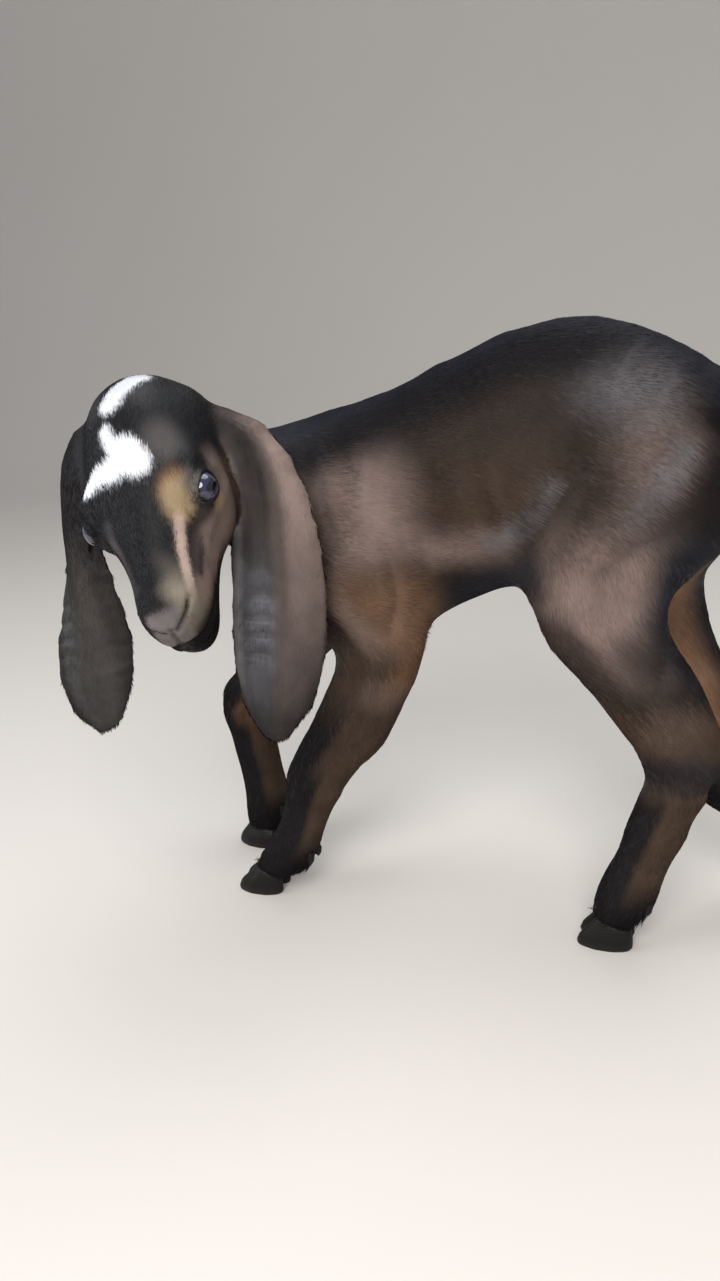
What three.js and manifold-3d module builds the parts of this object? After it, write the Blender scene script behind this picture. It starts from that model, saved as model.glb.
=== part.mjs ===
// A goat kid of a long-eared, Roman-nosed breed, about a month old, as a still, life-size display model.
// It walks with its neck bent to its left, so that the lowered face looks out sideways and both long ears
// hang free. Units are millimetres. The kid faces -X, its right side is +Y, and +Z is up.
//
// The flesh is one smooth field of muscles and bones, meshed and then parted by thin planar cuts into the
// parts that a person would name. Ears, eyeballs, hoof claws and dewclaws are solids of their own.
import * as THREE from "three";
import { mergeVertices } from "three/addons/utils/BufferGeometryUtils.js";
import Module from "manifold-3d";

const wasm = await Module();
wasm.setup();

// ---------------------------------------------------------------------------------------------------
// Driving dimensions
// ---------------------------------------------------------------------------------------------------
const WITHERS_HEIGHT = 381;
const CROUP_HEIGHT = 434;
const GAP = 0.4; // the thin cut between two parts
const EYEBALL_RADIUS = 12;
const CLAW_LENGTH = 39;
const CLAW_WIDTH = 16;
const CORONET_HEIGHT = 22; // where hair meets horn, at the middle of the foot
const CORONET_TILT = THREE.MathUtils.degToRad(15); // higher at the toe than at the heel
const EAR_THICKNESS = 4.5;

// The grid that meshes each part, as [cell along it, cell across it]: fine where the forms are small.
const CELL = {
  trunk: [23, 17],
  neck: [17, 13],
  head: [13.5, 9.2],
  upperLeg: [22.5, 12.5],
  lowerLeg: [16, 9.8],
  tail: [13, 8],
};
const CELL_LOSS = 0.6; // the meshing cuts the corners of the form by about this much, so it is added first

// ---------------------------------------------------------------------------------------------------
// Field tools: a field is negative inside the flesh and positive outside, roughly in millimetres
// ---------------------------------------------------------------------------------------------------
const at = (forward, right, up) => new THREE.Vector3(-forward, right, up);
const lerp = THREE.MathUtils.lerp;

function smoothMin(a, b, blend) {
  const overlap = Math.max(blend - Math.abs(a - b), 0) / blend;
  return Math.min(a, b) - (overlap * overlap * blend) / 4;
}

function join(blend, ...fields) {
  return (p) => fields.reduce((d, field) => smoothMin(d, field(p), blend), Infinity);
}

// An ellipsoid of muscle. The turn is a quaternion for its own axes.
function blob(centre, radii, turn = new THREE.Quaternion()) {
  const back = turn.clone().invert();
  const q = new THREE.Vector3();
  return (p) => {
    q.subVectors(p, centre).applyQuaternion(back);
    const k0 = Math.hypot(q.x / radii.x, q.y / radii.y, q.z / radii.z);
    const k1 = Math.hypot(q.x / radii.x ** 2, q.y / radii.y ** 2, q.z / radii.z ** 2);
    return k0 < 1e-6 ? -Math.min(radii.x, radii.y, radii.z) : (k0 * (k0 - 1)) / k1;
  };
}

// A chain of tapered rods through joints { p, r, side }: r is the radius seen from the side, and side
// times r is the radius across.
function limb(joints, blend = 6) {
  const rods = joints.slice(1).map((b, i) => {
    const a = joints[i];
    const along = new THREE.Vector3().subVectors(b.p, a.p);
    const d = new THREE.Vector3();
    return (p) => {
      d.subVectors(p, a.p);
      const t = THREE.MathUtils.clamp(d.dot(along) / along.lengthSq(), 0, 1);
      const radius = lerp(a.r, b.r, t);
      const side = lerp(a.side, b.side, t);
      d.addScaledVector(along, -t);
      return (Math.hypot(d.x, d.y / side, d.z) - radius) * Math.min(1, side);
    };
  });
  return join(blend, ...rods);
}

// A smooth value at x from [x, value, value, ...] rows, by a Catmull-Rom through the rows.
function profile(rows, x, column) {
  const last = rows.length - 1;
  const i = THREE.MathUtils.clamp(rows.findIndex((row) => row[0] > x) - 1, 0, last - 1);
  const k = x >= rows[last][0] ? last - 1 : i;
  const row = (n) => rows[THREE.MathUtils.clamp(n, 0, last)];
  const span = row(k + 1)[0] - row(k)[0];
  const t = THREE.MathUtils.clamp((x - row(k)[0]) / span, 0, 1);
  const slope = (n) =>
    ((row(n + 1)[column] - row(n - 1)[column]) / (row(n + 1)[0] - row(n - 1)[0])) * span;
  const [a, b, ma, mb] = [row(k)[column], row(k + 1)[column], slope(k), slope(k + 1)];
  const [t2, t3] = [t * t, t * t * t];
  return (2 * t3 - 3 * t2 + 1) * a + (t3 - 2 * t2 + t) * ma + (3 * t2 - 2 * t3) * b + (t3 - t2) * mb;
}

// A barrel along its first axis from rows [along, top, bottom, half width]. Pear above 0 makes it narrower
// at the top than at the bottom.
function barrel(rows, toLocal, pear) {
  const first = rows[0][0];
  const last = rows[rows.length - 1][0];
  return (p) => {
    const { along, across, up } = toLocal(p);
    const s = THREE.MathUtils.clamp(along, first, last);
    const top = profile(rows, s, 1);
    const bottom = profile(rows, s, 2);
    const high = (top - bottom) / 2;
    const level = (up - (top + bottom) / 2) / high;
    const wide = profile(rows, s, 3) * (1 - pear * THREE.MathUtils.clamp(level, -1, 1));
    const round = (Math.hypot(level, across / wide) - 1) * Math.min(high, wide);
    const past = Math.abs(along - s);
    return past > 0 ? Math.hypot(Math.max(round, 0), past) : round;
  };
}

// ---------------------------------------------------------------------------------------------------
// Meshing: surface nets over a grid, then manifold solids for exact cuts
// ---------------------------------------------------------------------------------------------------
// The frame's first axis runs along the part, and the box is given in that frame.
function meshField(field, frame, box, [along, across]) {
  const cell = [along, across, across];
  const low = box.min.toArray();
  const n = box.getSize(new THREE.Vector3()).toArray().map((s, a) => Math.ceil(s / cell[a]) + 1);
  const index = (i, j, k) => (k * n[1] + j) * n[0] + i;
  const values = new Float32Array(n[0] * n[1] * n[2]);
  const p = new THREE.Vector3();
  for (let k = 0; k < n[2]; k++)
    for (let j = 0; j < n[1]; j++)
      for (let i = 0; i < n[0]; i++) {
        const rim = Math.min(i, j, k, n[0] - 1 - i, n[1] - 1 - j, n[2] - 1 - k) === 0;
        p.set(low[0] + i * cell[0], low[1] + j * cell[1], low[2] + k * cell[2]).applyMatrix4(frame);
        values[index(i, j, k)] = rim ? Math.max(field(p), across / 2) : field(p);
      }
  const corners = [0, 1, 2, 3, 4, 5, 6, 7].map((c) => [c & 1, (c >> 1) & 1, (c >> 2) & 1]);
  const edges = [];
  for (let a = 0; a < 8; a++)
    for (const bit of [1, 2, 4]) if (!(a & bit)) edges.push([a, a | bit]);
  const netVertex = new Int32Array(values.length).fill(-1);
  const positions = [];
  for (let k = 0; k < n[2] - 1; k++)
    for (let j = 0; j < n[1] - 1; j++)
      for (let i = 0; i < n[0] - 1; i++) {
        const v = corners.map(([a, b, c]) => values[index(i + a, j + b, k + c)]);
        const sum = [0, 0, 0];
        let crossings = 0;
        for (const [a, b] of edges) {
          if (v[a] < 0 === v[b] < 0) continue;
          const t = v[a] / (v[a] - v[b]);
          for (let axis = 0; axis < 3; axis++)
            sum[axis] += lerp(corners[a][axis], corners[b][axis], t);
          crossings++;
        }
        if (!crossings) continue;
        netVertex[index(i, j, k)] = positions.length / 3;
        [i, j, k].forEach((m, axis) =>
          positions.push(low[axis] + (m + sum[axis] / crossings) * cell[axis]),
        );
      }
  const faces = [];
  const steps = [[1, 0, 0], [0, 1, 0], [0, 0, 1]];
  for (let k = 0; k < n[2] - 1; k++)
    for (let j = 0; j < n[1] - 1; j++)
      for (let i = 0; i < n[0] - 1; i++)
        for (let axis = 0; axis < 3; axis++) {
          const [di, dj, dk] = steps[axis];
          const here = values[index(i, j, k)] < 0;
          if (here === values[index(i + di, j + dj, k + dk)] < 0) continue;
          const u = steps[(axis + 1) % 3];
          const w = steps[(axis + 2) % 3];
          const quad = [[1, 1], [0, 1], [0, 0], [1, 0]].map(([a, b]) =>
            netVertex[index(i - a * u[0] - b * w[0], j - a * u[1] - b * w[1], k - a * u[2] - b * w[2])],
          );
          if (!here) quad.reverse();
          faces.push(quad[0], quad[1], quad[2], quad[0], quad[2], quad[3]);
        }
  return new THREE.BufferGeometry()
    .setAttribute("position", new THREE.Float32BufferAttribute(positions, 3))
    .setIndex(faces)
    .applyMatrix4(frame);
}

function solidFrom(geometry) {
  const bare = geometry.clone();
  bare.deleteAttribute("normal");
  bare.deleteAttribute("uv");
  const merged = mergeVertices(bare, 1e-3);
  return new wasm.Manifold(
    new wasm.Mesh({
      numProp: 3,
      vertProperties: new Float32Array(merged.attributes.position.array),
      triVerts: new Uint32Array(merged.index.array),
    }),
  );
}

function geometryFrom(solid) {
  const mesh = solid.getMesh();
  const geometry = new THREE.BufferGeometry()
    .setAttribute("position", new THREE.BufferAttribute(mesh.vertProperties, 3))
    .setIndex(new THREE.BufferAttribute(mesh.triVerts, 1));
  geometry.computeVertexNormals();
  return geometry;
}

const BLOCK = 2000;
const SLIVER = 0.08;

// The half of space on the side of the plane that its normal points away from, half a gap short of it.
function behind(plane, short = GAP / 2) {
  const block = new THREE.BoxGeometry(BLOCK, BLOCK, BLOCK).translate(0, 0, -BLOCK / 2 - short);
  block.applyQuaternion(new THREE.Quaternion().setFromUnitVectors(at(0, 0, 1), plane.normal));
  const foot = plane.coplanarPoint(new THREE.Vector3());
  return solidFrom(block.translate(foot.x, foot.y, foot.z));
}

const planeAt = (point, normal) =>
  new THREE.Plane().setFromNormalAndCoplanarPoint(normal.clone().normalize(), point);
const turned = (plane) => plane.clone().negate();

const WORLD = new THREE.Matrix4();

// A frame whose first axis runs from a to b, and whose second stays level with the kid's right.
function frameAlong(a, b) {
  const x = new THREE.Vector3().subVectors(b, a).normalize();
  const z = new THREE.Vector3().crossVectors(x, at(0, 1, 0)).normalize();
  const y = new THREE.Vector3().crossVectors(z, x);
  return new THREE.Matrix4().makeBasis(x, y, z).setPosition(a);
}

// The largest piece of a solid that a cut has left with crumbs, without the slivers along the cut.
function mainPiece(solid) {
  return solid
    .decompose()
    .reduce((a, b) => (b.volume() > a.volume() ? b : a))
    .asOriginal()
    .simplify(SLIVER);
}

// Whether two folds of a surface meet along an edge, which would leave it without a clear inside.
function pinched(solid) {
  const { vertProperties, triVerts } = solid.getMesh();
  const faces = new Map();
  const key = (v) => [0, 1, 2].map((axis) => vertProperties[3 * v + axis].toFixed(2)).join(",");
  for (let t = 0; t < triVerts.length; t += 3) {
    const corners = [0, 1, 2].map((c) => key(triVerts[t + c]));
    corners.forEach((corner, c) => {
      const edge = [corner, corners[(c + 1) % 3]].sort().join("|");
      faces.set(edge, (faces.get(edge) ?? 0) + 1);
    });
  }
  return [...faces].some(([edge, count]) => count > 2 && new Set(edge.split("|")).size > 1);
}

// A part of the flesh: the field inside a box of its frame, cut to shape. Where the cut meets the mesh
// badly, the grid is moved a little and the part is made again.
function flesh(field, frame, corners, cell, cut) {
  const box = new THREE.Box3().setFromPoints(corners).expandByScalar(cell[0]);
  for (let nudge = 0; nudge < 12; nudge++) {
    const solid = mainPiece(cut(solidFrom(meshField(field, frame, box, cell))));
    if (!pinched(solid)) return solid;
    box.translate(new THREE.Vector3(cell[0], -cell[1], cell[1]).multiplyScalar(0.13));
  }
  throw new Error("no grid gives a clean part");
}

const cutBy = (...planes) => (solid) => planes.reduce((s, plane) => s.intersect(behind(plane)), solid);

// A closed skin through rings of points, each with the same even number of points. Each end is closed
// by a strip that runs from one half of its ring to the other, so a crescent closes as well as a circle.
function loft(rings) {
  const count = rings[0].length;
  const positions = rings.flat().flatMap((p) => [p.x, p.y, p.z]);
  const faces = [];
  rings.slice(1).forEach((_, r) => {
    for (let i = 0; i < count; i++) {
      const [a, b] = [r * count + i, r * count + ((i + 1) % count)];
      faces.push(a, b, b + count, a, b + count, a + count);
    }
  });
  for (const [ring, flip] of [[0, true], [rings.length - 1, false]])
    for (let i = 0; i < count / 2 - 1; i++) {
      const quad = [i, i + 1, count - 2 - i, count - 1 - i].map((k) => ring * count + k);
      if (flip) quad.reverse();
      faces.push(quad[0], quad[1], quad[2], quad[0], quad[2], quad[3]);
    }
  return new THREE.BufferGeometry()
    .setAttribute("position", new THREE.Float32BufferAttribute(positions, 3))
    .setIndex(faces);
}

// ---------------------------------------------------------------------------------------------------
// Trunk, neck and tail
// ---------------------------------------------------------------------------------------------------
const bodyFrame = (p) => ({ along: -p.x, across: p.y, up: p.z });

// Rows of [forward, back line, belly line, half width], from the buttocks to the breast.
const TRUNK_ROWS = [
  [-203, 350, 318, 16],
  [-184, 371, 288, 36],
  [-150, 403, 270, 48],
  [-103, CROUP_HEIGHT, 264, 52],
  [-52, 433, 260, 52],
  [-5, 417, 243, 56],
  [40, 398, 224, 55],
  [82, WITHERS_HEIGHT, 212, 51],
  [116, 366, 222, 42],
  [144, 336, 256, 24],
];

const NECK = [
  { p: at(88, 0, 318), r: 54, side: 0.86 },
  { p: at(130, -34, 326), r: 43, side: 0.95 },
  { p: at(154, -80, 346), r: 36, side: 1 },
  { p: at(162, -118, 362), r: 33, side: 1 },
];

const TAIL = [
  { p: at(-168, 0, 366), r: 20, side: 1 },
  { p: at(-196, 0, 384), r: 13, side: 1.1 },
  { p: at(-220, 0, 402), r: 10, side: 1.3 },
  { p: at(-240, 0, 420), r: 6, side: 1.3 },
];

// ---------------------------------------------------------------------------------------------------
// Head: its own frame runs along the nose, out of the kid's left cheek, and up through the poll
// ---------------------------------------------------------------------------------------------------
const POLL = at(163, -142, 401);
const NOSE_YAW = THREE.MathUtils.degToRad(117); // from straight ahead, towards the kid's left
const NOSE_DROP = THREE.MathUtils.degToRad(32);
const HEAD_ROLL = THREE.MathUtils.degToRad(22);

const headMatrix = new THREE.Matrix4().multiplyMatrices(
  new THREE.Matrix4().makeTranslation(POLL.x, POLL.y, POLL.z),
  new THREE.Matrix4()
    .makeRotationZ(Math.PI + NOSE_YAW)
    .multiply(new THREE.Matrix4().makeRotationY(NOSE_DROP))
    .multiply(new THREE.Matrix4().makeRotationX(HEAD_ROLL)),
);
const headInverse = headMatrix.clone().invert();
const inHead = (nose, left, up) => new THREE.Vector3(nose, left, up).applyMatrix4(headMatrix);
const headTurn = new THREE.Quaternion().setFromRotationMatrix(headMatrix);

const headPoint = new THREE.Vector3();
const headFrame = (p) => {
  headPoint.copy(p).applyMatrix4(headInverse);
  return { along: headPoint.x, across: headPoint.y, up: headPoint.z };
};

// Rows of [along the nose, brow line, jaw line, half width].
const HEAD_ROWS = [
  [-28, -2, -45, 20],
  [-14, 13, -60, 32],
  [6, 20, -74, 38.5],
  [28, 20, -83, 40.5],
  [50, 12, -85, 37.5],
  [72, 0, -86, 30],
  [94, -12, -86, 25],
  [116, -25, -86, 20.5],
  [134, -37, -80, 15.5],
  [148, -48, -66, 8],
];

const EYE = { nose: 69, left: 31.5, up: -25 };

const headBlob = (nose, left, up, rNose, rLeft, rUp) =>
  blob(inHead(nose, left, up), new THREE.Vector3(rNose, rLeft, rUp), headTurn);
const bothSides = (make) => [make(1), make(-1)];

const headField = join(
  10,
  barrel(HEAD_ROWS, headFrame, -0.04),
  ...bothSides((s) => headBlob(EYE.nose - 1, s * 30, EYE.up + 3, 21, 12.5, 17)), // the rim of the eye
  ...bothSides((s) => headBlob(42, s * 22, -60, 30, 14, 22)), // the cheek's chewing muscle
  ...bothSides((s) => headBlob(130, s * 10, -47, 15, 8.5, 12)), // the nostril's wing
  ...bothSides((s) => headBlob(2, s * 32, -20, 15, 13, 16)), // the ear's root
  headBlob(120, 0, -79, 20, 13, 12), // the chin
);

// ---------------------------------------------------------------------------------------------------
// Legs: joints from the side, as [forward, up], and how far each stands out from the middle of the body
// ---------------------------------------------------------------------------------------------------
const LEGS = {
  fore_left: {
    side: -1,
    middle: [
      [45, 218, 28.5, 44, 0.72],
      [73, 163, 28, 44, 0.7],
      [112, 110, 23.5, 42, 0.78],
    ],
    lower: [
      [112, 110, 23.5, 42, 0.78],
      [125, 76, 17, 40, 0.86],
      [137, 46, 18.5, 38, 0.96],
      [158, 24, 15.5, 36, 1.02],
    ],
    upper: [
      [84, 306, 33, 40, 0.62],
      [84, 262, 30, 43, 0.72],
      [46, 218, 27, 44, 0.72],
    ],
    foot: [171, 36],
    heading: 4,
  },
  fore_right: {
    side: 1,
    upper: [
      [112, 306, 31, 38, 0.62],
      [120, 266, 30, 41, 0.72],
      [124, 220, 27, 42, 0.72],
    ],
    middle: [
      [124, 220, 26, 42, 0.74],
      [170, 178, 24, 40, 0.78],
      [212, 134, 23, 36, 0.86],
    ],
    lower: [
      [212, 134, 23, 36, 0.86],
      [206, 88, 18, 34, 0.88],
      [199, 44, 19, 33, 0.98],
      [204, 24, 15.5, 32, 1.02],
    ],
    foot: [208, 32],
    heading: -4,
  },
  hind_left: {
    side: -1,
    upper: [
      [-132, 364, 44, 30, 0.66],
      [-112, 300, 46, 40, 0.56],
      [-99, 250, 36, 46, 0.56],
    ],
    middle: [
      [-99, 250, 36, 46, 0.6],
      [-137, 197, 31, 44, 0.66],
      [-157, 147, 22, 41, 0.7],
    ],
    lower: [
      [-158, 147, 23, 41, 0.7],
      [-141, 96, 18.5, 38, 0.82],
      [-122, 44, 19, 36, 0.96],
      [-112, 24, 15.5, 35, 1.02],
    ],
    foot: [-107, 35],
    heading: 3,
  },
  hind_right: {
    side: 1,
    upper: [
      [-138, 362, 44, 30, 0.66],
      [-130, 300, 46, 40, 0.56],
      [-122, 246, 36, 45, 0.56],
    ],
    middle: [
      [-122, 246, 35, 45, 0.6],
      [-152, 172, 29, 43, 0.66],
      [-174, 107, 23, 40, 0.7],
    ],
    lower: [
      [-174, 107, 23, 40, 0.7],
      [-210, 76, 18.5, 38, 0.82],
      [-243, 46, 19, 36, 0.96],
      [-243, 24, 15.5, 35, 1.02],
    ],
    foot: [-242, 35],
    heading: -3,
  },
};

const jointsOf = (leg, rows) =>
  rows.map(([forward, up, r, out, side]) => ({ p: at(forward, leg.side * out, up), r, side }));

// The point of the hock stands up behind the joint, at the end of the Achilles tendon.
const HOCK_POINT = { back: 21, rise: 15, radius: 10 };

function hockField(leg) {
  const [forward, up, , out] = leg.lower[0];
  const tip = at(forward - HOCK_POINT.back, leg.side * out, up + HOCK_POINT.rise);
  const [calfForward, calfUp, , calfOut] = leg.middle[1];
  return limb([
    { p: at(calfForward - 12, leg.side * calfOut, calfUp), r: 16, side: 0.7 },
    { p: tip, r: HOCK_POINT.radius, side: 0.85 },
    { p: at(forward, leg.side * out, up - 12), r: 14, side: 0.85 },
  ]);
}

const legFields = Object.fromEntries(
  Object.entries(LEGS).map(([name, leg]) => {
    const pieces = ["upper", "middle", "lower"].map((rows) => limb(jointsOf(leg, leg[rows]), 8));
    if (name.startsWith("hind")) pieces.push(hockField(leg));
    return [name, join(7, ...pieces)];
  }),
);

// ---------------------------------------------------------------------------------------------------
// The whole flesh
// ---------------------------------------------------------------------------------------------------
const trunkField = barrel(TRUNK_ROWS, bodyFrame, 0.2);
const neckField = limb(NECK, 14);
const wholeField = join(
  12,
  join(26, trunkField, neckField, ...Object.values(legFields)),
  limb(TAIL, 6),
  headField,
);
const fleshField = (p) => wholeField(p) - CELL_LOSS;

// ---------------------------------------------------------------------------------------------------
// Cutting planes, each with its normal towards the outer part
// ---------------------------------------------------------------------------------------------------
const NECK_ROOT = planeAt(at(113, -22, 325), at(0.82, -0.56, 0.1));
const NECK_HEAD = planeAt(inHead(-21, 0, -40), inHead(1, 0, 0.35).sub(inHead(0, 0, 0)));
const TAIL_ROOT = planeAt(at(-196, 0, 384), at(-0.9, 0, 0.6));
const BETWEEN_LEG_PAIRS = planeAt(at(-50, 0, 0), at(1, 0, 0));

// Where a leg leaves the trunk: a plane that rises outwards, so that a leg takes its own thigh or arm.
const LEG_ROOT = { fore: { level: 206, rise: 0.5 }, hind: { level: 252, rise: 0.7 } };
const KNEE_LEVEL = { fore_left: 98, fore_right: 122, hind_left: 127, hind_right: 95 };

function legPlanes(name) {
  const pair = name.split("_")[0];
  const { side } = LEGS[name];
  const { level, rise } = LEG_ROOT[pair];
  return [
    planeAt(at(0, 0, level), at(0, rise * side, -1)),
    planeAt(at(0, 0, 0), at(0, side, 0)),
    pair === "fore" ? BETWEEN_LEG_PAIRS : turned(BETWEEN_LEG_PAIRS),
  ];
}

const coronetPlane = (leg) =>
  planeAt(
    at(leg.foot[0], leg.side * leg.foot[1], CORONET_HEIGHT),
    at(-Math.sin(CORONET_TILT), 0, Math.cos(CORONET_TILT)),
  );

// ---------------------------------------------------------------------------------------------------
// Hooves: two claws to a foot, and two dewclaws behind the fetlock
// ---------------------------------------------------------------------------------------------------
const CLAW_SIDES = 10;
const CLAW_SPREAD = 7.9; // from the foot's middle to a claw's middle

// A claw's outline at one level: long, flat on its inner side and pointed at the toe.
function clawRing(inner, level, length, width, shift) {
  return Array.from({ length: CLAW_SIDES }, (_, i) => {
    const angle = (2 * Math.PI * i) / CLAW_SIDES;
    const forward = Math.cos(angle);
    const across = Math.sin(angle);
    const toe = forward > 0 ? 1 - 0.34 * forward ** 2 : 1;
    const flat = across * inner > 0 ? 0.72 : 1;
    return at(shift + (forward * length) / 2, (across * width * toe * flat) / 2, level);
  });
}

function clawSolid(leg, inner) {
  const rings = [
    clawRing(inner, 0, CLAW_LENGTH - 3, CLAW_WIDTH - 1, 0.5),
    clawRing(inner, 3, CLAW_LENGTH, CLAW_WIDTH, 0.5),
    clawRing(inner, 16, CLAW_LENGTH - 5, CLAW_WIDTH - 0.5, -2),
    clawRing(inner, 32, CLAW_LENGTH - 10, CLAW_WIDTH - 2, -5.5),
  ];
  const claw = loft(rings.map((ring) => ring.reverse()))
    .translate(0, -inner * CLAW_SPREAD, 0)
    .rotateZ(THREE.MathUtils.degToRad(leg.heading))
    .translate(-leg.foot[0], leg.side * leg.foot[1], 0);
  return solidFrom(claw).intersect(behind(coronetPlane(leg)));
}

const DEWCLAW = { back: 14.5, spread: 7, drop: 8, radii: new THREE.Vector3(4.4, 3.6, 6) };

function dewclawGeometry(leg, inner, grow) {
  const [forward, up, , out] = leg.lower[2];
  const { x, y, z } = DEWCLAW.radii;
  const place = at(forward - DEWCLAW.back, leg.side * out - inner * DEWCLAW.spread, up - DEWCLAW.drop);
  return new THREE.SphereGeometry(1, 7, 4)
    .scale(x + grow, y + grow, z + grow)
    .translate(place.x, place.y, place.z);
}

// ---------------------------------------------------------------------------------------------------
// Ears: long leaves with a rolled front edge, lofted along a curve
// ---------------------------------------------------------------------------------------------------
const EAR_RINGS = 12;
const EAR_ARC = 6;

// Widths and curl along the ear, as [share of length, half width, curl in degrees, thickness share].
const EAR_ROWS = [
  [0, 15, 90, 1.6],
  [0.12, 18, 72, 1.3],
  [0.25, 23, 66, 1.05],
  [0.45, 29, 62, 0.95],
  [0.65, 32, 48, 0.9],
  [0.82, 30, 40, 0.85],
  [0.94, 20, 36, 0.8],
  [1, 8, 32, 0.7],
];

// The spine is the ear's middle line, and facing is the way its outer, convex side looks along it.
const EARS = {
  ear_left: {
    spine: [
      inHead(0, 24, -16),
      at(111, -114, 391),
      at(97, -108, 370),
      at(91, -107, 334),
      at(91, -110, 286),
      at(93, -117, 234),
      at(96, -126, 178),
    ],
    facing: [
      at(-0.45, -0.1, 0.9),
      at(-0.6, -0.6, 0.4),
      at(-0.45, -0.88, 0.05),
      at(-0.4, -0.9, 0),
      at(-0.4, -0.9, 0),
    ],
  },
  ear_right: {
    spine: [
      inHead(0, -24, -12),
      at(199, -147, 391),
      at(208, -155, 370),
      at(208, -166, 330),
      at(201, -178, 284),
      at(191, -188, 241),
      at(177, -195, 208),
    ],
    facing: [
      at(0.3, -0.1, 1),
      at(0.8, -0.3, 0.6),
      at(0.6, -0.8, 0),
      at(0, -1, 0),
      at(-0.4, -0.9, 0),
    ],
  },
};

function earSolid(ear, grow = 0) {
  const spine = new THREE.CatmullRomCurve3(ear.spine, false, "centripetal");
  const facing = new THREE.CatmullRomCurve3(ear.facing);
  const rings = Array.from({ length: EAR_RINGS }, (_, i) => {
    const share = i / (EAR_RINGS - 1);
    const along = spine.getTangentAt(share);
    const across = new THREE.Vector3().crossVectors(facing.getPoint(share), along).normalize();
    const out = new THREE.Vector3().crossVectors(along, across).normalize();
    const half = profile(EAR_ROWS, share, 1) + grow;
    const curl = THREE.MathUtils.degToRad(profile(EAR_ROWS, share, 2));
    const thick = (EAR_THICKNESS * profile(EAR_ROWS, share, 3)) / 2 + grow;
    const bend = half / Math.sin(Math.min(curl, Math.PI / 2));
    const centre = spine.getPointAt(share).addScaledVector(out, -bend);
    const arc = (radius, angle) =>
      centre
        .clone()
        .addScaledVector(across, radius * Math.sin(angle))
        .addScaledVector(out, radius * Math.cos(angle));
    const angles = Array.from({ length: EAR_ARC }, (_, a) => lerp(-curl, curl, a / (EAR_ARC - 1)));
    const taper = (angle) => thick * (1 - 0.5 * (angle / curl) ** 2);
    const outside = angles.map((angle) => arc(bend + taper(angle), angle));
    const inside = angles.map((angle) => arc(bend - taper(angle), angle));
    return [...inside, ...outside.reverse()];
  });
  return solidFrom(loft(rings));
}

// ---------------------------------------------------------------------------------------------------
// Assembly
// ---------------------------------------------------------------------------------------------------
const MATERIALS = {
  black_coat: new THREE.MeshStandardMaterial({ color: 0x1d1816, roughness: 0.55, metalness: 0 }),
  brown_coat: new THREE.MeshStandardMaterial({ color: 0x3f2a1f, roughness: 0.6, metalness: 0 }),
  eye: new THREE.MeshStandardMaterial({ color: 0x2a2434, roughness: 0.08, metalness: 0 }),
  horn: new THREE.MeshStandardMaterial({ color: 0x17120f, roughness: 0.45, metalness: 0 }),
};

const kid = new THREE.Group();
kid.name = "goat_kid";

function add(name, solid, material) {
  const mesh = new THREE.Mesh(geometryFrom(solid), material);
  mesh.name = name;
  kid.add(mesh);
}

// Eyes
const eyeball = (s, grow) => {
  const centre = inHead(EYE.nose, s * EYE.left, EYE.up);
  return solidFrom(
    new THREE.SphereGeometry(EYEBALL_RADIUS + grow, 12, 8).translate(centre.x, centre.y, centre.z),
  );
};
add("eye_left", eyeball(1, 0), MATERIALS.eye);
add("eye_right", eyeball(-1, 0), MATERIALS.eye);

// Head, with sockets for the eyes
const headBox = [new THREE.Vector3(-60, -50, -96), new THREE.Vector3(160, 50, 30)];
const head = flesh(fleshField, headMatrix, headBox, CELL.head, (solid) =>
  cutBy(turned(NECK_HEAD))(solid).subtract(eyeball(1, GAP)).subtract(eyeball(-1, GAP)),
);
add("head", head, MATERIALS.black_coat);

// Neck
const neckFrame = frameAlong(NECK[0].p, NECK[3].p);
const neckBox = [new THREE.Vector3(-40, -90, -90), new THREE.Vector3(210, 90, 90)];
const neckCut = cutBy(NECK_HEAD, turned(NECK_ROOT));
const neck = flesh(fleshField, neckFrame, neckBox, CELL.neck, neckCut);
add("neck", neck, MATERIALS.brown_coat);

// Ears, cut back from the head and neck that they grow from
const grown = (p) => fleshField(p) - 2 * GAP;
const uncut = (solid) => solid;
const roots = [
  flesh(grown, headMatrix, headBox, CELL.head, uncut),
  flesh(grown, neckFrame, neckBox, CELL.neck, uncut),
  head,
  neck,
];
for (const [name, ear] of Object.entries(EARS)) {
  const solid = roots.reduce((whole, root) => whole.subtract(root), earSolid(ear));
  add(name, mainPiece(solid), MATERIALS.brown_coat);
}

// Trunk and tail
const trunkBox = [at(-225, -80, 190), at(175, 80, 455)];
const trunk = flesh(fleshField, WORLD, trunkBox, CELL.trunk, (solid) =>
  Object.keys(LEGS).reduce((rest, name) => {
    const [a, b, c] = legPlanes(name).map((plane) => behind(turned(plane), -GAP / 2));
    return rest.subtract(a.intersect(b).intersect(c));
  }, cutBy(NECK_ROOT, TAIL_ROOT)(solid)),
);
add("trunk", trunk, MATERIALS.brown_coat);

const tailFrame = frameAlong(TAIL[1].p, TAIL[3].p);
const tailBox = [new THREE.Vector3(-30, -40, -40), new THREE.Vector3(70, 40, 40)];
const tail = flesh(fleshField, tailFrame, tailBox, CELL.tail, cutBy(turned(TAIL_ROOT)));
add("tail", tail, MATERIALS.black_coat);

// Legs: an upper and a lower part, two claws and two dewclaws each
const LEG_REACH = 60;

function legPart(rows, leg, cell, cut) {
  const joints = jointsOf(leg, rows);
  const frame = frameAlong(joints[0].p, joints[joints.length - 1].p);
  const back = frame.clone().invert();
  const box = new THREE.Box3().setFromPoints(joints.map(({ p }) => p.clone().applyMatrix4(back)));
  box.expandByScalar(LEG_REACH);
  return flesh(fleshField, frame, [box.min, box.max], cell, cut);
}

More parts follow.
